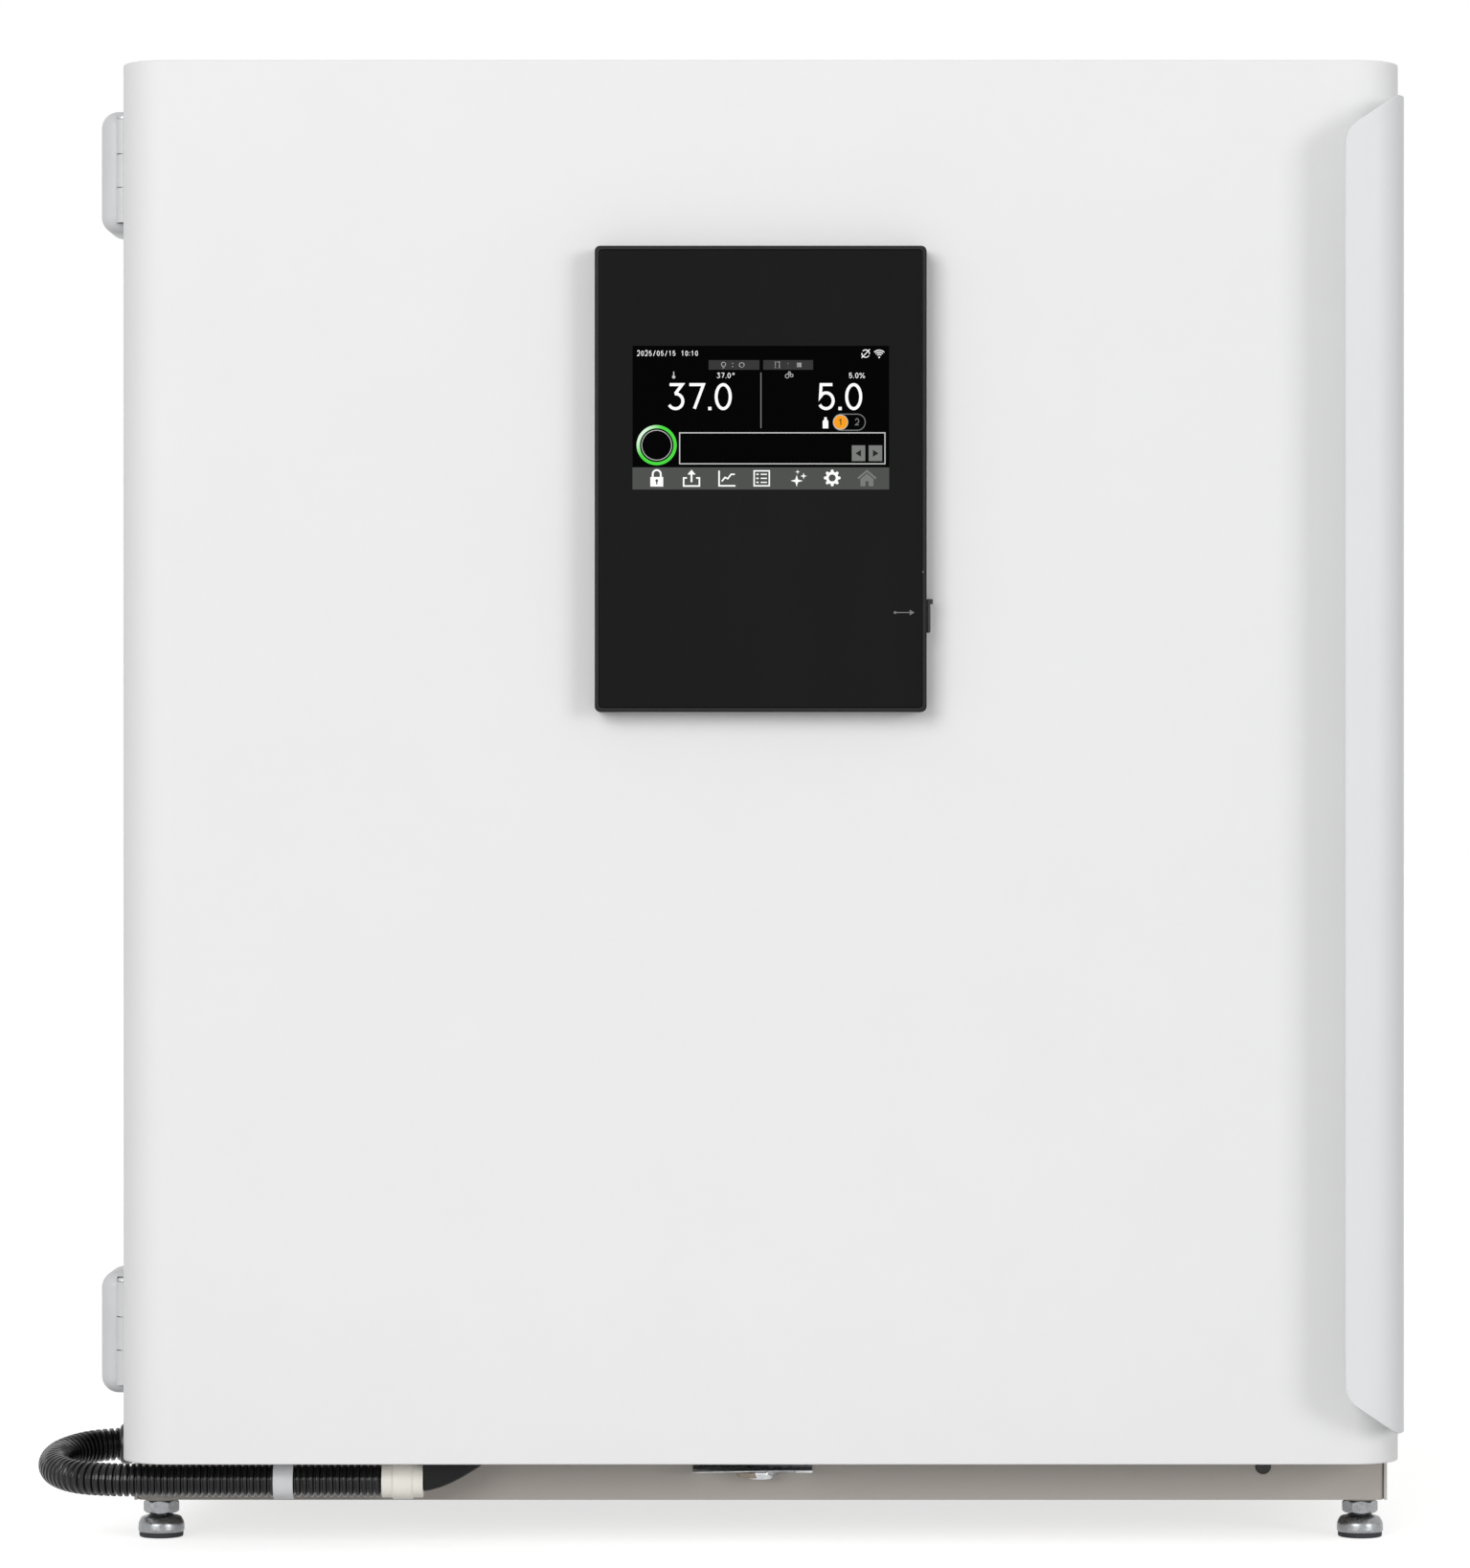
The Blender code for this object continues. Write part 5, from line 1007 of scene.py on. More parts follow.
@dataclass
class Cabinet:
    """The grey case, its rear panel, base pan and the catch under the door."""

    width: float = 0.766
    low: float = 0.0254
    high: float = 0.905
    front: float = -0.280
    rear: float = 0.340
    sheet_metal: float = 0.002
    corner: float = 0.004
    plug_place: tuple[float, float] = (0.3072, 0.0459)
    plug_radius: float = 0.0048
    nub_level: float = 0.0444
    nub_setback: float = 0.011

    def build(self) -> None:
        """Make and dress the cabinet's outside."""
        self.case()
        eased_copy("rear_panel", CASE_GREY, 0.0004)
        # The base pan's darker paint is painted shade under the door.
        eased_copy("base_pan", BASE_GREY_PAINTED_SHADE, 0.0005)
        self.base_plug()
        self.catch()

    def case(self) -> None:
        """The wrap: a U that stands on its ends, with round corners, carried from front to rear."""
        half, r = self.width / 2, self.corner
        line = [[(half, self.low)], arc((half - r, self.high - r), r, 0, 90)]
        line += [arc((-half + r, self.high - r), r, 90, 180), [(-half, self.low)]]
        section = np.concatenate(line)
        inner = offset(section, self.sheet_metal, closed=False)
        depth = np.array([self.front, self.rear])
        sides = [self._carried(points, depth) for points in (section, inner)]
        piece("outer_case_wrap", sheet(*sides), CASE_GREY, "cabinet", ["outer_case"], bevel=0.0004)

    @staticmethod
    def _carried(section: np.ndarray, depth: np.ndarray) -> np.ndarray:
        """The section (x, z) repeated at each depth y, as a grid."""
        x, z = section[:, 0] + SHIFT, section[:, 1]
        return np.stack([np.column_stack([x, np.full(len(section), y), z]) for y in depth])

    def base_plug(self) -> None:
        """The black plug pressed into the base's front, with a low dome and a flange."""
        r = self.plug_radius
        profile = eased([(0, 0.0016), (r * 0.8, 0.0014), (r, 0.0004), (r, -0.0002), (0, -0.0004)], 0.0004)
        place = (self.plug_place[0] + SHIFT, self.front, self.plug_place[1])
        plug = turned(profile, place, (0, -1, 0), 32)
        piece("base_plug", plug, SWITCH_BLACK, "cabinet", slot="black_plastic")

    def catch(self) -> None:
        """The folded bracket under the door, with a smooth domed nub below it."""
        eased_copy("catch_bracket", ZINC, 0.0003)
        low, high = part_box("catch_bracket")
        place = ((low[0] + high[0]) / 2, high[1] - self.nub_setback, self.nub_level)
        profile = [(0, 0.0001), (0.0101, 0.0001), (0.0103, -0.0012), (0.0086, -0.0036), (0, -0.0040)]
        nub = turned(eased(profile, 0.0012), place, (0, 0, 1), 40)
        piece("catch_nub", nub, NUB_BROWN, "cabinet", slot="zinc_steel")


@dataclass
class RearSide:
    """What sits on the rear: the louvred cover, the port, the gas inlet, the cord gland and the switch."""

    face: float = 0.340
    cover_face: float = 0.380
    screw_sunk: float = 0.0004
    side_screws: int = 6
    side_inset: float = 0.009
    end_inset: float = 0.02
    cover_inset: float = 0.012
    cover_screw: float = 0.0030

    def build(self) -> None:
        """Make and dress the rear."""
        eased_copy("rear_cover", CASE_GREY, 0.0005)
        eased_copy("power_cord_gland", SWITCH_BLACK, 0.0003)
        eased_copy("gas_inlet", BRASS, 0.0002)
        eased_copy("power_switch_housing", SWITCH_BLACK, 0.0006)
        eased_copy("switch_rocker", SWITCH_BLACK, 0.0005)
        eased_copy("access_port_sleeve", COVER_WHITE, 0.0006)
        eased_copy("port_plug", WHITE_SEAL, 0.0008)
        self.screws()

    def screws(self) -> None:
        """Domed screws round the cover's rim and down both sides of the rear panel."""
        low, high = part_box("rear_panel")
        sides = (low[0] + self.side_inset, high[0] - self.side_inset)
        heights = np.linspace(low[2] + self.end_inset, high[2] - self.end_inset, self.side_screws)
        seat = self.face - self.screw_sunk
        heads = [screw_head((x, seat, z), (0, 1, 0)) for x in sides for z in heights]
        low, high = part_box("rear_cover")
        sides = (low[0] + self.cover_inset, high[0] - self.cover_inset)
        heights = (low[2] + self.cover_inset, high[2] - self.cover_inset)
        seat = self.cover_face - self.screw_sunk
        heads += [screw_head((x, seat, z), (0, 1, 0), self.cover_screw) for x in sides for z in heights]
        piece("rear_screws", joined(heads), ZINC, "cabinet", slot="zinc_steel")


@dataclass
class Chamber:
    """The steel chamber with its front frame, seals, shelves and pan."""

    shelves: int = 3

    def build(self) -> None:
        """Dress the chamber and what slides in it."""
        eased_copy("front_frame", LINER_STEEL, 0.0008)
        # The chamber, its pan and its shelves get the lighter steel that paints light into the dark chamber.
        eased_copy("chamber", CHAMBER_STEEL_PAINTED_LIGHT, 0.0005, 35.0)
        eased_copy("chamber_gasket", WHITE_SEAL, 0.0012)
        eased_copy("insulation_jacket", FOAM, 0.0)
        eased_copy("humidity_pan", TRAY_STEEL_PAINTED_LIGHT, 0.0006)
        for number in range(1, self.shelves + 1):
            eased_copy(f"shelf_{number}", TRAY_STEEL_PAINTED_LIGHT, 0.0003)


@dataclass
class AirUnit:
    """The duct with its grille, the fan, the lamp and the probes."""

    def build(self) -> None:
        """Dress the air unit."""
        eased_copy("rear_duct", LINER_STEEL, 0.0005)
        eased_copy("fan_impeller", COVER_WHITE, 0.0003)
        eased_copy("fan_motor", ZINC, 0.0005)
        eased_copy("uv_lamp", LAMP_GLASS, 0.0006)
        eased_copy("temperature_sensor", PROBE_STEEL, 0.0004)
        eased_copy("gas_sensor", PROBE_STEEL, 0.0005)


@dataclass
class Feet:
    """The four levelling feet."""

    places: tuple[tuple[float, float], ...] = (
        (-0.369, -0.254),
        (0.369, -0.254),
        (-0.369, 0.300),
        (0.369, 0.300),
    )
    pad_radius: float = 0.01425
    pad_height: float = 0.013
    hex_low: float = 0.0149
    hex_high: float = 0.0224
    flats: float = 0.019
    stud: float = 0.005
    stud_top: float = 0.055
    thread_pitch: float = 0.001
    thread_depth: float = 0.0005
    chamfer: float = 0.0012

    def build(self) -> None:
        """Make each foot's metal and its dark sole."""
        for number, (x, y) in enumerate(self.places, 1):
            foot = f"levelling_foot_{number}"
            metal = joined([self.pad(), self.stud_rod(), self.nut()]).moved(x + SHIFT, y)
            piece(f"foot_metal_{number}", metal, FOOT_ZINC, foot, [foot])
            sole = self.sole().moved(x + SHIFT, y)
            piece(f"foot_sole_{number}", sole, SOLE_RUBBER, foot, slot="grey_rubber")

    def pad(self) -> Surface:
        """The round pad with a soft shoulder and a neck.

        Returns:
            The pad, on the origin's axis.
        """
        r, top = self.pad_radius, self.pad_height
        profile = [(0, 0.0031), (r - 0.0004, 0.0031), (r, 0.0045), (r - 0.0002, 0.0088)]
        profile += [(r - 0.0022, top - 0.0006), (0.0088, top), (0.0068, top + 0.0010)]
        profile += [(0.0060, self.hex_low + 0.0005), (0, self.hex_low + 0.001)]
        return turned(eased(profile, 0.0013, steps=5), (0, 0, 0), (0, 0, 1), 56)

    def sole(self) -> Surface:
        """The dark sole under the pad.

        Returns:
            The sole, on the origin's axis.
        """
        r = self.pad_radius - 0.0007
        profile = eased([(0, 0.0032), (r, 0.0032), (r, 0.0006), (r - 0.0008, 0), (0, 0)], 0.0004)
        return turned(profile, (0, 0, 0), (0, 0, 1), 48)

    def stud_rod(self) -> Surface:
        """The threaded stud: its radius falls and rises by a saw of the thread's pitch.

        Returns:
            The stud, on the origin's axis.
        """
        height = np.linspace(self.hex_high - self.thread_pitch, self.stud_top, 131)
        saw = np.abs((height / self.thread_pitch) % 1 - 0.5) * 2
        radius = self.stud - self.thread_depth * saw
        line = np.column_stack([radius, height])
        profile = np.concatenate([[(0, height[0])], line, [(0, height[-1])]])
        return turned(profile, (0, 0, 0), (0, 0, 1), 24)

    def nut(self) -> Surface:
        """A hexagon whose corners are cut by a cone at both ends.

        At an angle t from a flat's middle the flat stands at flats / 2 / cos t, and near an end the
        radius is at most that of a cone, which at the end itself is 1% wider than the flats.

        Returns:
            The nut, on the origin's axis.
        """
        steps = 72
        angle = np.linspace(0, 2 * math.pi, steps, endpoint=False)
        within = angle % (math.pi / 3) - math.pi / 6
        hexagon = self.flats / 2 / np.cos(within)
        heights = np.concatenate([[self.hex_low], self.hex_low + self.chamfer * np.linspace(0, 1, 4)])
        heights = np.concatenate([heights[1:], (self.hex_low + self.hex_high) - heights[:0:-1]])
        nearest = np.minimum(heights - self.hex_low, self.hex_high - heights)
        cone = self.flats / 2 * 1.01 + nearest * 1.4
        radius = np.minimum(hexagon[None, :], cone[:, None])
        rings = [radius * np.cos(angle), radius * np.sin(angle), np.repeat(heights[:, None], steps, axis=1)]
        return skin(np.stack(rings, axis=-1))


@dataclass
class OuterDoor:
    """The outer door: its white shell, steel liner, foam, seal and bent handle."""

    width: float = 0.770
    low: float = 0.055
    high: float = 0.897
    edge_radius: float = 0.030
    sheet_metal: float = 0.001
    roll: float = 0.0011
    handle_front: float = -0.380
    handle_sheet: float = 0.002
    handle_gap: float = 0.0003
    handle_bend: float = 0.027
    handle_lean: float = 3.9
    handle_run: float = 0.034
    handle_lip: float = 0.0105
    handle_flange: float = 0.026
    handle_height: float = 0.7984
    handle_centre: float = 0.4748
    slant: float = 33.6
    slant_width: float = 0.0325
    slant_corner: float = 0.016

    def build(self) -> None:
        """Make and dress the door."""
        piece("door_shell", self.shell(), DOOR_WHITE, "outer_door", ["door_skin"], angle=40.0, merge=0.000002)
        piece("door_handle", self.handle(), HANDLE_SILVER, "outer_door", ["handle"], bevel=0.0005, angle=40.0)
        eased_copy("door_liner", LINER_STEEL, 0.0008)
        eased_copy("door_insulation", FOAM, 0.0)
        eased_copy("door_gasket", DOOR_SEAL, 0.0014)

    def plan(self, inset: float) -> np.ndarray:
        """The shell's outline from above, open at the back, drawn in by an inset.

        Args:
            inset: how far it is drawn in.

        Returns:
            Its points (x, y), with x measured from the cabinet's middle.
        """
        half, r = self.width / 2 - inset, self.edge_radius - inset
        front = DOOR_FACE + inset
        left = arc((-half + r, front + r), r, 180, 270, 24)
        right = arc((half - r, front + r), r, 270, 360, 24)
        return np.concatenate([[(-half, DOOR_REAR)], left, right, [(half, DOOR_REAR)]])

    def shell(self) -> Surface:
        """The shell as one grid: the plan outline runs across it, and its rows climb the height.

        The first and last rows sweep the plan back to the door's rear edge, which closes the top and
        bottom; between them and the wall a quarter circle rolls the edge.
        """
        return sheet(self._side(0.0), self._side(self.sheet_metal))

    def _side(self, inset: float) -> np.ndarray:
        """One side of the sheet.

        At an angle a from the wall the rolled edge is drawn in by roll (1 - cos a) and stands
        roll (1 - sin a) from the end.

        Args:
            inset: how far the side is drawn in from the outside.

        Returns:
            The grid of its points, one row for each level.
        """
        low, high, r = self.low + inset, self.high - inset, self.roll
        angle = np.radians(np.linspace(90, 0, 5))
        turn = [(inset + r * (1 - math.cos(a)), r * (1 - math.sin(a))) for a in angle]
        sweep = np.linspace(1, 0, 5)[:-1]
        rows = [self._level(inset + r, low, share) for share in sweep]
        rows += [self._level(inward, low + rise, 0) for inward, rise in turn]
        rows += [self._level(inset, height, 0) for height in np.linspace(low + r, high - r, 8)[1:-1]]
        rows += [self._level(inward, high - rise, 0) for inward, rise in turn[::-1]]
        rows += [self._level(inset + r, high, share) for share in sweep[::-1]]
        return np.stack(rows)

    def _level(self, inset: float, height: float, share: float) -> np.ndarray:
        """The plan at one height.

        Args:
            inset: how far the plan is drawn in.
            height: its height.
            share: the share of the way to the rear edge that its points have gone.

        Returns:
            One row of the grid.
        """
        line = self.plan(inset)
        depth = line[:, 1] + (DOOR_REAR - line[:, 1]) * share
        return np.column_stack([line[:, 0] + SHIFT, depth, np.full(len(line), height)])

    def section(self) -> np.ndarray:
        """The handle's outer side from above: lip, bend, leaning run and flange.

        Returns:
            Its points (x, y), with x measured from the cabinet's middle.
        """
        lean, r, run = math.radians(self.handle_lean), self.handle_bend, self.handle_run
        outer = self.width / 2 + self.handle_gap + self.handle_sheet
        start = outer - run * math.sin(lean) - r * math.cos(lean)
        bend = arc((start, self.handle_front + r), r, 270, 360 - self.handle_lean, 28)
        end = bend[-1]
        across = np.linspace(start - self.handle_lip, start, 9)[:-1]
        lip = np.column_stack([across, np.full(len(across), self.handle_front)])
        knee = (end[0] + run * math.sin(lean), end[1] + run * math.cos(lean))
        tail = np.array([knee, (knee[0], knee[1] + self.handle_flange)])
        return np.concatenate([lip, bend, tail])

    def reach(self, x: np.ndarray) -> np.ndarray:
        """How far the handle reaches above and below its middle at each x.

        From the lip an arc of the corner's radius turns into the slanting end, which climbs with the
        slant's tangent until the full height.

        Args:
            x: the section's places across.

        Returns:
            The reach at each.
        """
        lip = x.min()
        half, tangent = self.handle_height / 2, math.tan(math.radians(self.slant))
        corner = half - self.slant_width * tangent
        turn = math.radians(90 - self.slant)
        r = self.slant_corner
        centre = corner - r * math.tan(turn / 2)
        inward = np.clip(x - lip, 0, None)
        swing = np.arccos(np.clip(1 - inward / r, -1, 1))
        curved = centre + r * np.sin(np.minimum(swing, turn))
        slanted = corner + inward * tangent
        return np.minimum(np.where(swing < turn, curved, slanted), half)

    def handle(self) -> Surface:
        """The bent handle: the section runs across the grid and its height follows the slanting ends.

        Returns:
            The handle's sheet.
        """
        line = self.section()
        reach = self.reach(line[:, 0])
        share = np.linspace(-1, 1, 41)
        inner = offset(line, self.handle_sheet, closed=False)
        grids = []
        for side in (line, inner):
            height = self.handle_centre + share[:, None] * reach[None, :]
            flat = np.broadcast_to(side[None], (len(share), len(side), 2))
            grids.append(np.stack([flat[..., 0] + SHIFT, flat[..., 1], height], axis=-1))
        return sheet(*grids)


def bowl(centre: Sequence[float], half_width: float, start: float) -> np.ndarray:
    """A numeral's lower bowl: (half width cos a, height sin a) round a centre at that height."""
    return arc((0, 0), 1, start, -150, 17) * (half_width, centre[1]) + centre


# The strokes of each numeral as paths in a square of side 1, with v up.
GLYPHS: dict[str, tuple[np.ndarray, ...]] = {
    "0": (rounded(0.0, 1.0, 0.0, 1.0, 0.5),),
    "1": (np.array([(0.12, 0.80), (0.58, 1.0), (0.58, 0.0)]),),
    "2": (np.concatenate([arc((0.5, 0.70), 0.48, 165, -28, 14), [(0.02, 0.0), (1.0, 0.0)]]),),
    "3": (np.array([(0.04, 1.0), (0.93, 1.0), (0.44, 0.62)]), bowl((0.46, 0.31), 0.52, 96)),
    "5": (np.concatenate([[(0.92, 1.0), (0.12, 1.0), (0.07, 0.50)], bowl((0.47, 0.33), 0.51, 118)]),),
    "7": (np.array([(0.0, 1.0), (1.0, 1.0), (0.36, 0.0)]),),
    "/": (np.array([(0.1, -0.08), (0.9, 1.08)]),),
}


@dataclass
class Screen:
    """The display: its housing and glass, and the marks of its screen on a grid of small units.

    The grid starts at the screen's upper left corner, with u to the right and v down.
    """

    left: float = -0.06804
    top: float = 0.72419
    unit: float = 0.0005709
    glass_face: float = -0.3690
    layer_step: float = 0.00006
    sunk: float = 0.0001
    marks: dict[Finish, list[Surface]] = field(default_factory=dict)

    def build(self) -> None:
        """Make the housing, the glass and everything that the screen shows."""
        eased_copy("display_housing", HOUSING_BLACK, 0.0004)
        eased_copy("display_glass", GLASS_BLACK, 0.0003)
        eased_copy("usb_socket", ZINC, 0.0001)
        eased_copy("usb_cover", SWITCH_BLACK, 0.0004)
        self.background()
        self.readings()
        self.status()
        self.icons()
        self.panel_marks()
        for finish, shapes in self.marks.items():
            piece("screen_" + finish.name, joined(shapes), finish, "outer_door", slot="black_glass")

    def at(self, points: Outline) -> np.ndarray:
        """Points (u, v) of the grid as (x, z)."""
        grid = np.asarray(points, float)
        return np.column_stack([self.left + grid[:, 0] * self.unit, self.top - grid[:, 1] * self.unit])

    def draw(self, finish: Finish, surface: Surface) -> None:
        """Keep a shape for its finish's piece."""
        self.marks.setdefault(finish, []).append(surface)

    def span(self, layer: int) -> tuple[float, float]:
        """The front and rear of what is drawn on a layer; each layer stands a step further out."""
        return self.glass_face - self.layer_step * layer, self.glass_face + self.sunk

    def fill(self, finish: Finish, outline: Outline, layer: int = 2) -> None:
        """A filled shape on a layer."""
        self.draw(finish, slab(self.at(outline)[::-1], Facing.Y, *self.span(layer)))

    def line(
        self, finish: Finish, points: Outline, width: float, closed: bool = False, layer: int = 2
    ) -> None:
        """A stroke on a layer, of a width in units."""
        self.draw(finish, ribbon(self.at(points), width * self.unit, *self.span(layer), closed))

    def write(
        self,
        finish: Finish,
        text: str,
        u: float,
        v: float,
        width: float,
        height: float,
        gap: float,
        stroke: float,
        layer: int = 2,
    ) -> None:
        """Numerals in plain strokes.

        Args:
            finish: their ink.
            text: digits, points, colons, strokes and spaces.
            u, v: the lower left corner of the first.
            width, height: a numeral's size in units.
            gap: the space between numerals.
            stroke: the stroke's width.
            layer: the layer that they stand on.
        """
        inner = np.array([width - stroke, -(height - stroke)])
        for sign in text:
            start = np.array([u + stroke / 2, v - stroke / 2])
            if sign in ".:":
                dot = stroke * 1.1
                for level in (0.0,) if sign == "." else (0.12, 0.62):
                    low = v - level * height
                    self.fill(finish, block(u, low, u + dot, low - dot), layer)
                u += dot + gap
                continue
            for path in GLYPHS.get(sign, ()):
                self.line(finish, start + path * inner, stroke, sign == "0", layer)
            u += width + gap

    def background(self) -> None:
        """The screen's black field, its lower bar, the pills, the divider and the message frame."""
        self.fill(SCREEN_BLACK, block(0, 0, 268, 150), 1)
        self.fill(INK_BAR, block(0, 127, 268, 150))
        for start, end in ((79.5, 132.5), (136.5, 188.5)):
            self.fill(INK_PILL, block(start, 15, end, 25))
        self.line(INK_GREY, [(134.1, 28), (134.1, 86)], 1.0)
        self.line(INK_SOFT, block(49.2, 90.9, 263.6, 123.2), 1.1, True)
        for start in (229.0, 246.6):
            self.fill(INK_GREY, block(start, 104, start + 14, 120.4))
        self.fill(INK_DARK, [(238.6, 108.6), (238.6, 116.0), (232.8, 112.3)], 3)
        self.fill(INK_DARK, [(251.0, 108.6), (256.8, 112.3), (251.0, 116.0)], 3)

    def readings(self) -> None:
        """The date and time, the two set values and the two large readings."""
        self.write(INK_WHITE, "2025/05/15", 4.8, 10.6, 2.9, 5.4, 1.22, 0.62)
        self.write(INK_WHITE, "10:10", 50.8, 10.6, 2.9, 5.4, 1.30, 0.62)
        self.write(INK_WHITE, "37.0", 36.6, 67.2, 17.8, 28.2, 3.4, 3.1)
        self.write(INK_WHITE, "5.0", 193.6, 67.2, 17.8, 28.2, 3.6, 3.1)
        self.write(INK_WHITE, "37.0", 88.0, 33.8, 3.4, 5.6, 1.2, 0.66)
        self.line(INK_WHITE, circle((105.4, 29.4), 0.95, 12), 0.5, True)
        self.write(INK_WHITE, "5.0", 226.0, 33.8, 3.4, 5.6, 1.2, 0.66)
        self.line(INK_WHITE, [(238.0, 33.8), (241.6, 28.2)], 0.6)
        for centre in ((238.1, 29.4), (241.5, 32.6)):
            self.line(INK_WHITE, circle(centre, 0.95, 12), 0.5, True)

    def status(self) -> None:
        """The pills' signs, the status ring and the bottle switch."""
        self.line(INK_SOFT, circle((95, 19.4), 2.2, 16), 0.8, True)
        self.line(INK_SOFT, [(93.9, 22.9), (96.1, 22.9)], 0.8)
        self.line(INK_SOFT, circle((114, 20), 2.5, 16), 0.9, True)
        self.line(INK_SOFT, block(149, 16.8, 153.4, 23.2), 0.8, True)
        self.fill(INK_SOFT, block(171.6, 17.6, 176.4, 22.4))
        for centre in ((104.5, 18.4), (104.5, 21.8), (162.5, 18.4), (162.5, 21.8)):
            self.fill(INK_SOFT, circle(centre, 0.6, 8))
        middle = (25.2, 103.8)
        ring = RingInk("ink_ring", srgb(70, 214, 60), centre=tuple(self.at([middle])[0]))
        self.line(ring, circle(middle, 19.3, 64), 3.3, True)
        self.line(INK_SOFT, circle(middle, 15.6, 48), 0.7, True)
        self.line(INK_SOFT, [(43.0, 27.0), (43.0, 31.6)], 1.0)
        self.fill(INK_SOFT, circle((43.0, 32.6), 1.7, 16))
        for centre, radius in (((161.5, 31.6), 2.0), ((166.2, 31.0), 1.5), ((163.8, 28.2), 1.1)):
            self.line(INK_SOFT, circle(centre, radius, 16), 0.6, True)
        self.line(INK_GREY, rounded(209.6, 243.0, 71.4, 88.2, 8.3), 0.9, True)
        self.fill(INK_ORANGE, circle((217.3, 79.8), 7.3, 32))
        self.line(INK_SOFT, circle((217.3, 79.8), 7.5, 32), 0.7, True, 3)
        self.write(INK_DARK, "1", 215.0, 83.2, 4.4, 6.8, 1.0, 1.0, 3)
        self.write(INK_GREY, "2", 232.3, 83.0, 4.4, 6.4, 1.0, 0.9)
        bottle = [(200.2, 74.6), (202.8, 74.6), (202.8, 77.0), (204.4, 78.6), (204.4, 86.2), (198.6, 86.2)]
        self.fill(INK_WHITE, bottle + [(198.6, 78.6), (200.2, 77.0)])

    def icons(self) -> None:
        """The lower bar's signs, from a padlock to a house, and two small signs at the top right."""
        self.fill(INK_WHITE, block(18.6, 137.0, 32.0, 147.0), 3)
        shackle = np.concatenate([[(29.5, 137.4)], arc((25.3, 134.0), 4.2, 0, -180, 14), [(21.1, 137.4)]])
        self.line(INK_WHITE, shackle, 1.9, layer=3)
        self.fill(INK_BAR, circle((25.3, 140.8), 1.5, 12), 4)
        self.line(INK_BAR, [(25.3, 141.0), (25.3, 144.8)], 1.4, layer=4)
        tray = [(56.8, 138.0), (53.4, 138.0), (53.4, 146.4), (69.8, 146.4), (69.8, 138.0), (66.4, 138.0)]
        self.line(INK_WHITE, tray, 1.6, layer=3)
        self.line(INK_WHITE, [(61.6, 142.4), (61.6, 133.4)], 1.9, layer=3)
        self.fill(INK_WHITE, [(57.4, 134.4), (61.6, 129.4), (65.8, 134.4)], 3)
        self.line(INK_WHITE, [(90.4, 130.4), (90.4, 146.2), (107.4, 146.2)], 1.6, layer=3)
        trend = [(93.2, 141.6), (96.6, 137.4), (99.4, 138.8), (103.0, 134.2), (106.8, 134.2)]
        self.line(INK_WHITE, trend, 1.5, layer=3)
        self.line(INK_WHITE, block(127.0, 130.6, 142.8, 146.2), 1.4, True, 3)
        for row in (134.2, 138.4, 142.6):
            self.line(INK_WHITE, [(133.8, row), (140.4, row)], 1.2, layer=3)
            self.line(INK_WHITE, [(129.2, row), (131.6, row)], 1.4, layer=3)
        for centre, size in (((171.4, 141.0), 6.4), ((178.6, 136.0), 3.4), ((172.4, 131.6), 2.4)):
            self.fill(INK_WHITE, self._star(centre, size), 3)
        self.gear((208.5, 138.0))
        self.line(INK_GREY, [(235.4, 138.6), (244.8, 130.6), (254.2, 138.6)], 2.0, layer=3)
        walls = [(238.0, 139.0), (244.8, 133.4), (251.6, 139.0), (251.6, 146.6), (238.0, 146.6)]
        self.fill(INK_GREY, walls, 3)
        self.line(INK_BAR, [(244.8, 146.6), (244.8, 141.4)], 3.2, layer=4)
        self.line(INK_WHITE, arc((243.4, 8.2), 3.9, 30, 190, 14), 0.9)
        self.line(INK_WHITE, arc((243.4, 8.2), 3.9, 220, 370, 14), 0.9)
        self.line(INK_WHITE, [(239.2, 12.6), (247.8, 3.6)], 0.9)
        self.fill(INK_WHITE, circle((257.6, 12.0), 0.9, 12))
        for radius in (3.0, 5.2, 7.4):
            self.line(INK_WHITE, arc((257.6, 12.0), radius, -135, -45, 10), 0.95)

    @staticmethod
    def _star(centre: Sequence[float], size: float) -> np.ndarray:
        """A four-pointed star: eight points whose radius alternates between a tip's and a waist's."""
        radius = np.where(np.arange(8) % 2 == 0, size, size * 0.30)
        return polar(centre, radius, np.radians(np.arange(0, 360, 45) + 90))

    def gear(self, centre: Sequence[float]) -> None:
        """A gear: its outer radius steps between root and tooth, and its ring leaves a round hole.

        Args:
            centre: its middle (u, v).
        """
        angle = np.linspace(0, 2 * math.pi, 96, endpoint=False)
        tooth = np.clip(np.cos(8 * angle) * 3.0, -1, 1)
        middle = 5.6 + 0.55 * tooth
        outer = middle + 1.9 + 0.55 * tooth
        inner = np.full_like(outer, 3.7)
        front, rear = self.span(3)[0], self.glass_face
        rings = []
        for radius, level in ((outer, front), (inner, front), (inner, rear), (outer, rear)):
            spot = self.at(polar(centre, radius, angle))
            rings.append(np.column_stack([spot[:, 0], np.full(len(spot), level), spot[:, 1]]))
        self.draw(INK_WHITE, skin(np.stack(rings, axis=1), loop=True))

    def panel_marks(self) -> None:
        """The socket's arrow and a tiny dot on the glass, in glowing grey screen ink: print that glows as
        painted light.
        """
        self.line(INK_GREY, [(273.0, 278.5), (290.5, 278.5)], 1.0)
        self.fill(INK_GREY, [(289.4, 275.6), (294.4, 278.5), (289.4, 281.4)])
        self.fill(INK_GREY, circle((274.2, 278.5), 1.5, 16))
        self.fill(INK_GREY, circle((303.3, 236.0), 0.8, 12))


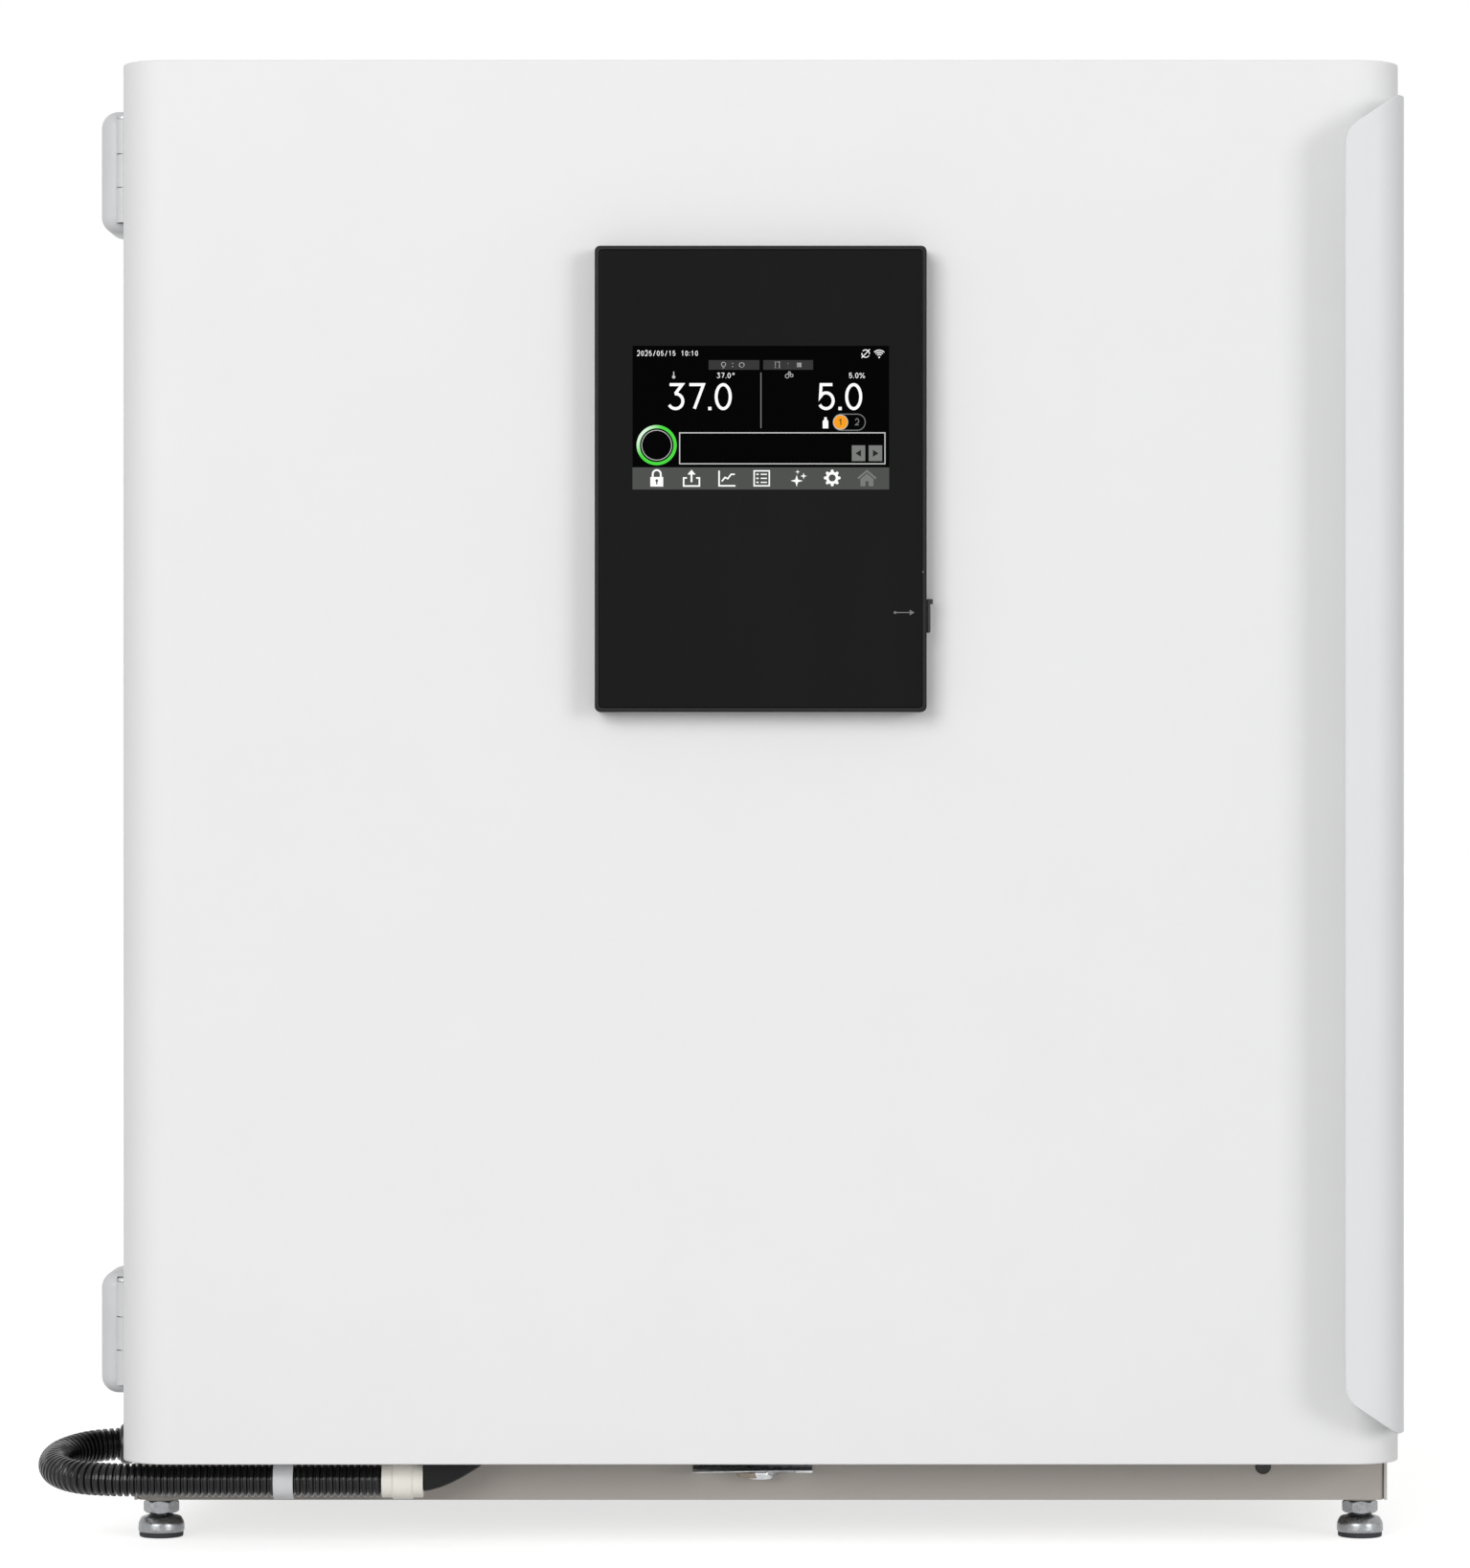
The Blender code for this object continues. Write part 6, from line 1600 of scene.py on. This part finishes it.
@dataclass
class HingeSet:
    """The outer hinges: brackets, pins, arms and their rounded covers, in white plastic darkened as painted
    shade.
    """

    centres: tuple[tuple[str, float], ...] = (("bottom", 0.1275), ("top", 0.8375))
    reach: float = 0.0207
    height: float = 0.075
    front: float = -0.279
    rear: float = -0.225
    corner: float = 0.0105
    knuckle_left: float = -0.3937
    slot_below: float = 0.0319
    slot_above: float = 0.0341
    slot_rear: float = 0.0038
    slot_spare: float = 0.01

    def build(self) -> None:
        """Make the covers and dress the rest."""
        for name, centre in self.centres:
            # The brackets, arms and covers share the white plastic darkened as painted shade.
            eased_copy(f"hinge_bracket_{name}", HINGE_WHITE_PAINTED_SHADE, 0.0004)
            eased_copy(f"hinge_arm_{name}", HINGE_WHITE_PAINTED_SHADE, 0.0003)
            eased_copy(f"hinge_pin_{name}", ZINC, 0.0002)
            self.cover(name, centre)

    def cover(self, name: str, centre: float) -> None:
        """A cover like half a pillow: rings of a rounded rectangle that shrink round its left edge.

        The ring at an angle a stands corner (1 - sin a) short of the left face and is drawn in by
        0.98 corner (1 - cos a), which leaves its end flat. A slot is cut for the knuckles and the
        bracket behind them.

        Args:
            name: the hinge's name.
            centre: the height of its middle.
        """
        low, high = centre - self.height / 2, centre + self.height / 2
        angle = np.radians(np.linspace(0, 90, 9))
        left = CABINET_SIDE - self.reach
        outline = rounded(self.front, self.rear, low, high, self.corner)
        inset = np.concatenate([[0.0], self.corner * 0.98 * (1 - np.cos(angle))])
        place = np.concatenate([[CABINET_SIDE], left + self.corner * (1 - np.sin(angle))])
        rings = [
            np.column_stack([np.full(len(outline), x), offset(outline, inward)])
            for x, inward in zip(place, inset)
        ]
        cover = skin(np.stack(rings)).moved(SHIFT).mesh(f"hinge_cover_{name}_pillow")
        slot_low = (self.knuckle_left, self.front - self.slot_spare, centre - self.slot_below)
        slot_high = (CABINET_SIDE + self.slot_spare, self.rear - self.slot_rear, centre + self.slot_above)
        carve(cover, slot_low, slot_high)
        finished(cover, HINGE_WHITE_PAINTED_SHADE, "cabinet", [f"hinge_cover_{name}"], angle=35.0)


@dataclass
class InnerDoor:
    """The inner glass door with its hinges, latch and keeper."""

    def build(self) -> None:
        """Dress the glass door and its fittings."""
        eased_copy("inner_door_glass", PANE_GLASS, 0.0008)
        for name in ("bottom", "top"):
            eased_copy(f"inner_hinge_bracket_{name}", PROBE_STEEL, 0.0003)
            eased_copy(f"inner_hinge_leaf_{name}", PROBE_STEEL, 0.0003)
        eased_copy("latch_keeper", PROBE_STEEL, 0.0003)
        eased_copy("inner_latch_base", PROBE_STEEL, 0.0004)
        eased_copy("inner_latch_knob", COVER_WHITE, 0.0008)


@dataclass
class Conduit:
    """The corrugated conduit from the cabinet's side round to the door's underside, and its fittings."""

    radius: float = 0.010
    groove: float = 0.0016
    pitch: float = 0.0040
    door_level: float = 0.0417
    setback: float = -0.315
    fitting_left: float = -0.229
    fitting_right: float = -0.204
    clip_side: float = -0.2885
    clip_half: float = 0.006
    boot_right: float = -0.168
    under_door: float = 0.0547
    clearance: float = 0.0003
    gland_setback: float = -0.225
    gland_level: float = 0.0536

    def route(self) -> np.ndarray:
        """The centreline's own points, from inside the gland to inside the fitting.

        Returns:
            The points, one to a row.
        """
        y, z = self.setback, self.door_level
        points = [
            (-0.3866, -0.2250, 0.0536),
            (-0.3990, -0.2252, 0.0534),
            (-0.4160, -0.2330, 0.0524),
            (-0.4285, -0.2500, 0.0500),
            (-0.4325, -0.2700, 0.0470),
            (-0.4275, -0.2900, 0.0442),
            (-0.4130, -0.3070, 0.0424),
            (-0.3900, -0.3145, 0.0418),
            (-0.3600, y, z),
            (-0.3350, y, z),
            (-0.3130, y, z),
            (-0.2885, y, z),
            (-0.2600, y, z),
            (-0.2230, y, z),
        ]
        return np.array(points) + (SHIFT, 0, 0)

    @staticmethod
    def smooth(points: np.ndarray, spacing: float) -> np.ndarray:
        """Points at equal spacing along a smooth curve through the given ones.

        Between two points B and C, with A before and D after them, the curve at t is half of
        2B + (C - A) t + (2A - 5B + 4C - D) t^2 + (3B - A - 3C + D) t^3.

        Args:
            points: the points to go through.
            spacing: the wanted distance between neighbours.

        Returns:
            The curve's points, one to a row.
        """
        a = np.concatenate([2 * points[:1] - points[1:2], points[:-2]])[:, None]
        b, c = points[:-1][:, None], points[1:][:, None]
        d = np.concatenate([points[2:], 2 * points[-1:] - points[-2:-1]])[:, None]
        t = np.linspace(0, 1, 60, endpoint=False)[None, :, None]
        curve = 2 * b + (c - a) * t + (2 * a - 5 * b + 4 * c - d) * t**2 + (3 * b - a - 3 * c + d) * t**3
        fine = np.concatenate([curve.reshape(-1, 3) / 2, points[-1:]])
        gone = np.concatenate([[0.0], np.cumsum(np.linalg.norm(np.diff(fine, axis=0), axis=1))])
        marks = np.linspace(0, gone[-1], int(round(gone[-1] / spacing)) + 1)
        return np.stack([np.interp(marks, gone, fine[:, axis]) for axis in range(3)], axis=-1)

    def hose(self) -> tuple[Surface, np.ndarray]:
        """The corrugated hose: a circle carried along the centreline, whose radius dips in grooves.

        The radius is the full one less the groove's depth where the cosine of the way along, in
        turns of the pitch, is low, with steep sides and a flat ridge.

        Returns:
            The hose's surface, and its centreline at wider spacing.
        """
        line = self.smooth(self.route(), 0.0004)
        way = np.concatenate([[0.0], np.cumsum(np.linalg.norm(np.diff(line, axis=0), axis=1))])
        ridge = np.clip(0.5 + 1.25 * (np.cos(2 * math.pi * way / self.pitch) + 0.30), 0, 1)
        radius = self.radius - self.groove * (1 - ridge * ridge * (3 - 2 * ridge))
        along = np.gradient(line, axis=0)
        along = along / np.linalg.norm(along, axis=1, keepdims=True)
        side = np.cross(along, (0, 0, 1))
        side = side / np.linalg.norm(side, axis=1, keepdims=True)
        up = np.cross(side, along)
        angle = np.linspace(0, 2 * math.pi, 40, endpoint=False)
        ring = np.cos(angle)[None, :, None] * side[:, None] + np.sin(angle)[None, :, None] * up[:, None]
        return skin(line[:, None] + radius[:, None, None] * ring), self.smooth(self.route(), 0.004)

    def build(self) -> None:
        surface, line = self.hose()
        hose = surface.mesh("conduit_hose")
        hose.data.materials.append(CONDUIT_BLACK.material())
        shaded(hose, 50.0, 0.0)
        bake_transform(hose, "cabinet", "outer_door", start=(0, -0.232, 0.05), end=(0, -0.3135, 0.05))
        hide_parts("conduit_loop", "conduit_door_run")
        fittings = [self.clip(), self.fitting(), self.boot()]
        self.gland()

    def clip(self) -> bpy.types.Object:
        """The band round the hose, in white plastic darkened as painted shade, with a tab up to the door.

        Returns:
            The piece.
        """
        x, half = self.clip_side + SHIFT, self.clip_half
        inner, outer = self.radius + self.clearance, self.radius + 0.0015
        band = eased([(inner, -half), (outer, -half), (outer, half), (inner, half)], 0.0003, closed=True)
        ring = turned(band, (x, self.setback, self.door_level), (1, 0, 0), 64)
        low = self.door_level + inner + 0.0004
        outline = rounded(x - half, x + half, self.setback - 0.004, self.setback + 0.004, 0.0008, 3)
        tab = slab(outline, Facing.Z, low, self.under_door, 0.0003)
        return piece("conduit_band", ring + tab, HINGE_WHITE_PAINTED_SHADE, "outer_door", ["conduit_clip"])

    def fitting(self) -> bpy.types.Object:
        """The white nylon fitting: a collar, a wider band and a second collar.

        Returns:
            The piece.
        """
        length = self.fitting_right - self.fitting_left
        r, band, bore = 0.0105, 0.0115, self.radius + self.clearance
        profile = [(0, length), (r, length), (r, length - 0.0062), (band, length - 0.0068), (band, 0.0068)]
        profile += [(r, 0.0062), (r, 0), (bore, 0), (bore, 0.0062), (0, 0.0062)]
        place = (self.fitting_left + SHIFT, self.setback, self.door_level)
        body = turned(eased(profile, 0.0006), place, (1, 0, 0), 72)
        return piece("conduit_end_fitting", body, NYLON_WHITE, "outer_door", ["conduit_fitting"])

    def boot(self) -> bpy.types.Object:
        """The tapered boot: rounded sections along X whose underside climbs to the door.

        At a share s of its length the underside has climbed by s^1.6 of the way up, and the half
        width narrows by a third; each section is a rounded rectangle.

        Returns:
            The piece.
        """
        left, right, top = self.fitting_right + self.clearance, self.boot_right, self.under_door
        share = np.linspace(0, 1, 24)
        low = self.door_level - 0.0060 + (top - 0.0030 - self.door_level + 0.0060) * share**1.6
        half = 0.009 * (1 - 0.34 * share)
        rings = []
        for s, w, z in zip(share, half, low):
            section = rounded(-w, w, z, top, min(0.0030, (top - z) * 0.45))
            rings.append(np.column_stack([np.full(len(section), left + (right - left) * s), section]))
        body = skin(np.stack(rings)).moved(SHIFT, self.setback)
        return piece("tapered_boot", body, BOOT_BLACK, "outer_door", ["cable_boot"], bevel=0.0006, angle=50.0)

    def gland(self) -> None:
        """The black gland on the cabinet's side, with a rounded lip and a shallow groove."""
        place = (CABINET_SIDE + SHIFT, self.gland_setback, self.gland_level)
        r, length, bore = 0.0125, 0.0137, self.radius + self.clearance
        profile = [(bore, length), (r - 0.0012, length), (r, length - 0.0015), (r, 0.0070)]
        profile += [(r - 0.0010, 0.0062), (r - 0.0010, 0.0048), (r, 0.0040), (r, 0), (bore, 0)]
        ring = turned(eased(profile, 0.0006, closed=True), place, (-1, 0, 0), 64)
        r, level = bore + 0.0002, 0.0028
        floor = turned([(0, level), (r, level), (r, 0), (0, 0)], place, (-1, 0, 0), 48)
        piece("conduit_gland_collar", ring + floor, SWITCH_BLACK, "cabinet", ["conduit_gland"])


@dataclass
class Studio:
    """The camera, the two soft boxes, the sky and the floor."""

    eye: tuple[float, float, float] = (0.00835, -3.85, 0.463)
    lens: float = 134.09
    shift: float = -0.01637
    key_from: tuple[float, float, float] = (-6.0, -13.0, 5.25)
    key: float = 0.47
    key_width: float = 8.0
    fill_from: tuple[float, float, float] = (10.0, -11.2, 2.8)
    fill: float = 0.23
    fill_width: float = 5.0
    target_height: float = 0.45
    sky: float = 0.40
    floor_reach: float = 30.0

    def camera(self) -> None:
        """The camera looks along +Y, level, with a small sideways shift."""
        data = bpy.data.cameras.new("camera")
        data.lens = self.lens
        data.shift_x = self.shift
        data.clip_end = 100.0
        obj = bpy.data.objects.new("camera", data)
        obj.location = self.eye
        obj.rotation_euler = (math.pi / 2, 0, 0)
        bpy.context.scene.collection.objects.link(obj)
        bpy.context.scene.camera = obj

    def lamp(self, name: str, source: Sequence[float], share: float, width: float) -> None:
        """A square soft box, aimed at the object's middle.

        Seen from the middle at a distance d, a box of power P gives a white sheet that faces it the
        brightness P / (pi d)^2, so the power is that share times (pi d)^2.

        Args:
            name: its name.
            source: where it hangs.
            share: the brightness of a white sheet that faces it.
            width: its side.
        """
        data = bpy.data.lights.new(name, "AREA")
        away = np.asarray(source, float) - np.array([SHIFT, 0.0, self.target_height])
        distance = float(np.linalg.norm(away))
        data.size = width
        data.energy = share * (math.pi * distance) ** 2
        obj = bpy.data.objects.new(name, data)
        obj.location = source
        flat = math.hypot(away[0], away[1])
        obj.rotation_euler = (math.atan2(flat, away[2]), 0, math.atan2(away[0], -away[1]))
        obj.visible_camera = False
        bpy.context.scene.collection.objects.link(obj)

    def world(self) -> None:
        """A pale sky: plain for what it lights, and white where the camera, metal or glass sees it."""
        world = bpy.data.worlds.new("studio")
        world.use_nodes = True
        sky = Paintwork("sky_share", world.node_tree)
        seen = sky.seen()
        back = world.node_tree.nodes["Background"]
        back.inputs["Color"].default_value = (1, 1, 1, 1)
        sky.feed(back.inputs["Strength"], seen * (1 - self.sky) + self.sky)
        bpy.context.scene.world = world

    def floor(self) -> None:
        """A wide pale floor, which shows white and keeps a light shadow."""
        far = self.floor_reach
        obj = slab(block(-far, -far, far, far), Facing.Z, -0.02, 0.0).mesh("floor")
        work = Paintwork("floor_paper")
        path = work.seen()
        cloud = work.noise(scale=3.0)
        work.show(Base_Color=work.mixed(cloud, (0.68, 0.68, 0.68), (0.70, 0.70, 0.70)), Roughness=0.9)
        work.show(Emission_Color=work.mixed(path, (0.0, 0.0, 0.0), (0.70, 0.70, 0.70)), Emission_Strength=1.0)
        work.shader.inputs["Specular IOR Level"].default_value = 0.1
        obj.data.materials.append(work.material)

    def build(self) -> None:
        """Set the scene's view, light and ground."""
        self.camera()
        self.lamp("key", self.key_from, self.key, self.key_width)
        self.lamp("fill", self.fill_from, self.fill, self.fill_width)
        self.world()
        self.floor()
        bpy.context.scene.view_settings.view_transform = "Standard"


def main() -> None:
    """Build the studio and then every part of the incubator."""
    logging.basicConfig(level=logging.INFO, format="%(name)s: %(message)s")
    Studio().build()
    assemblies: Sequence[type] = (
        Conduit,
        Cabinet,
        RearSide,
        Chamber,
        AirUnit,
        Feet,
        OuterDoor,
        Screen,
        HingeSet,
        InnerDoor,
    )
    for assembly in assemblies:
        LOG.info("assembly %s", assembly.__name__)
        assembly().build()
    bpy.context.view_layer.update()


if __name__ == "__main__":
    main()
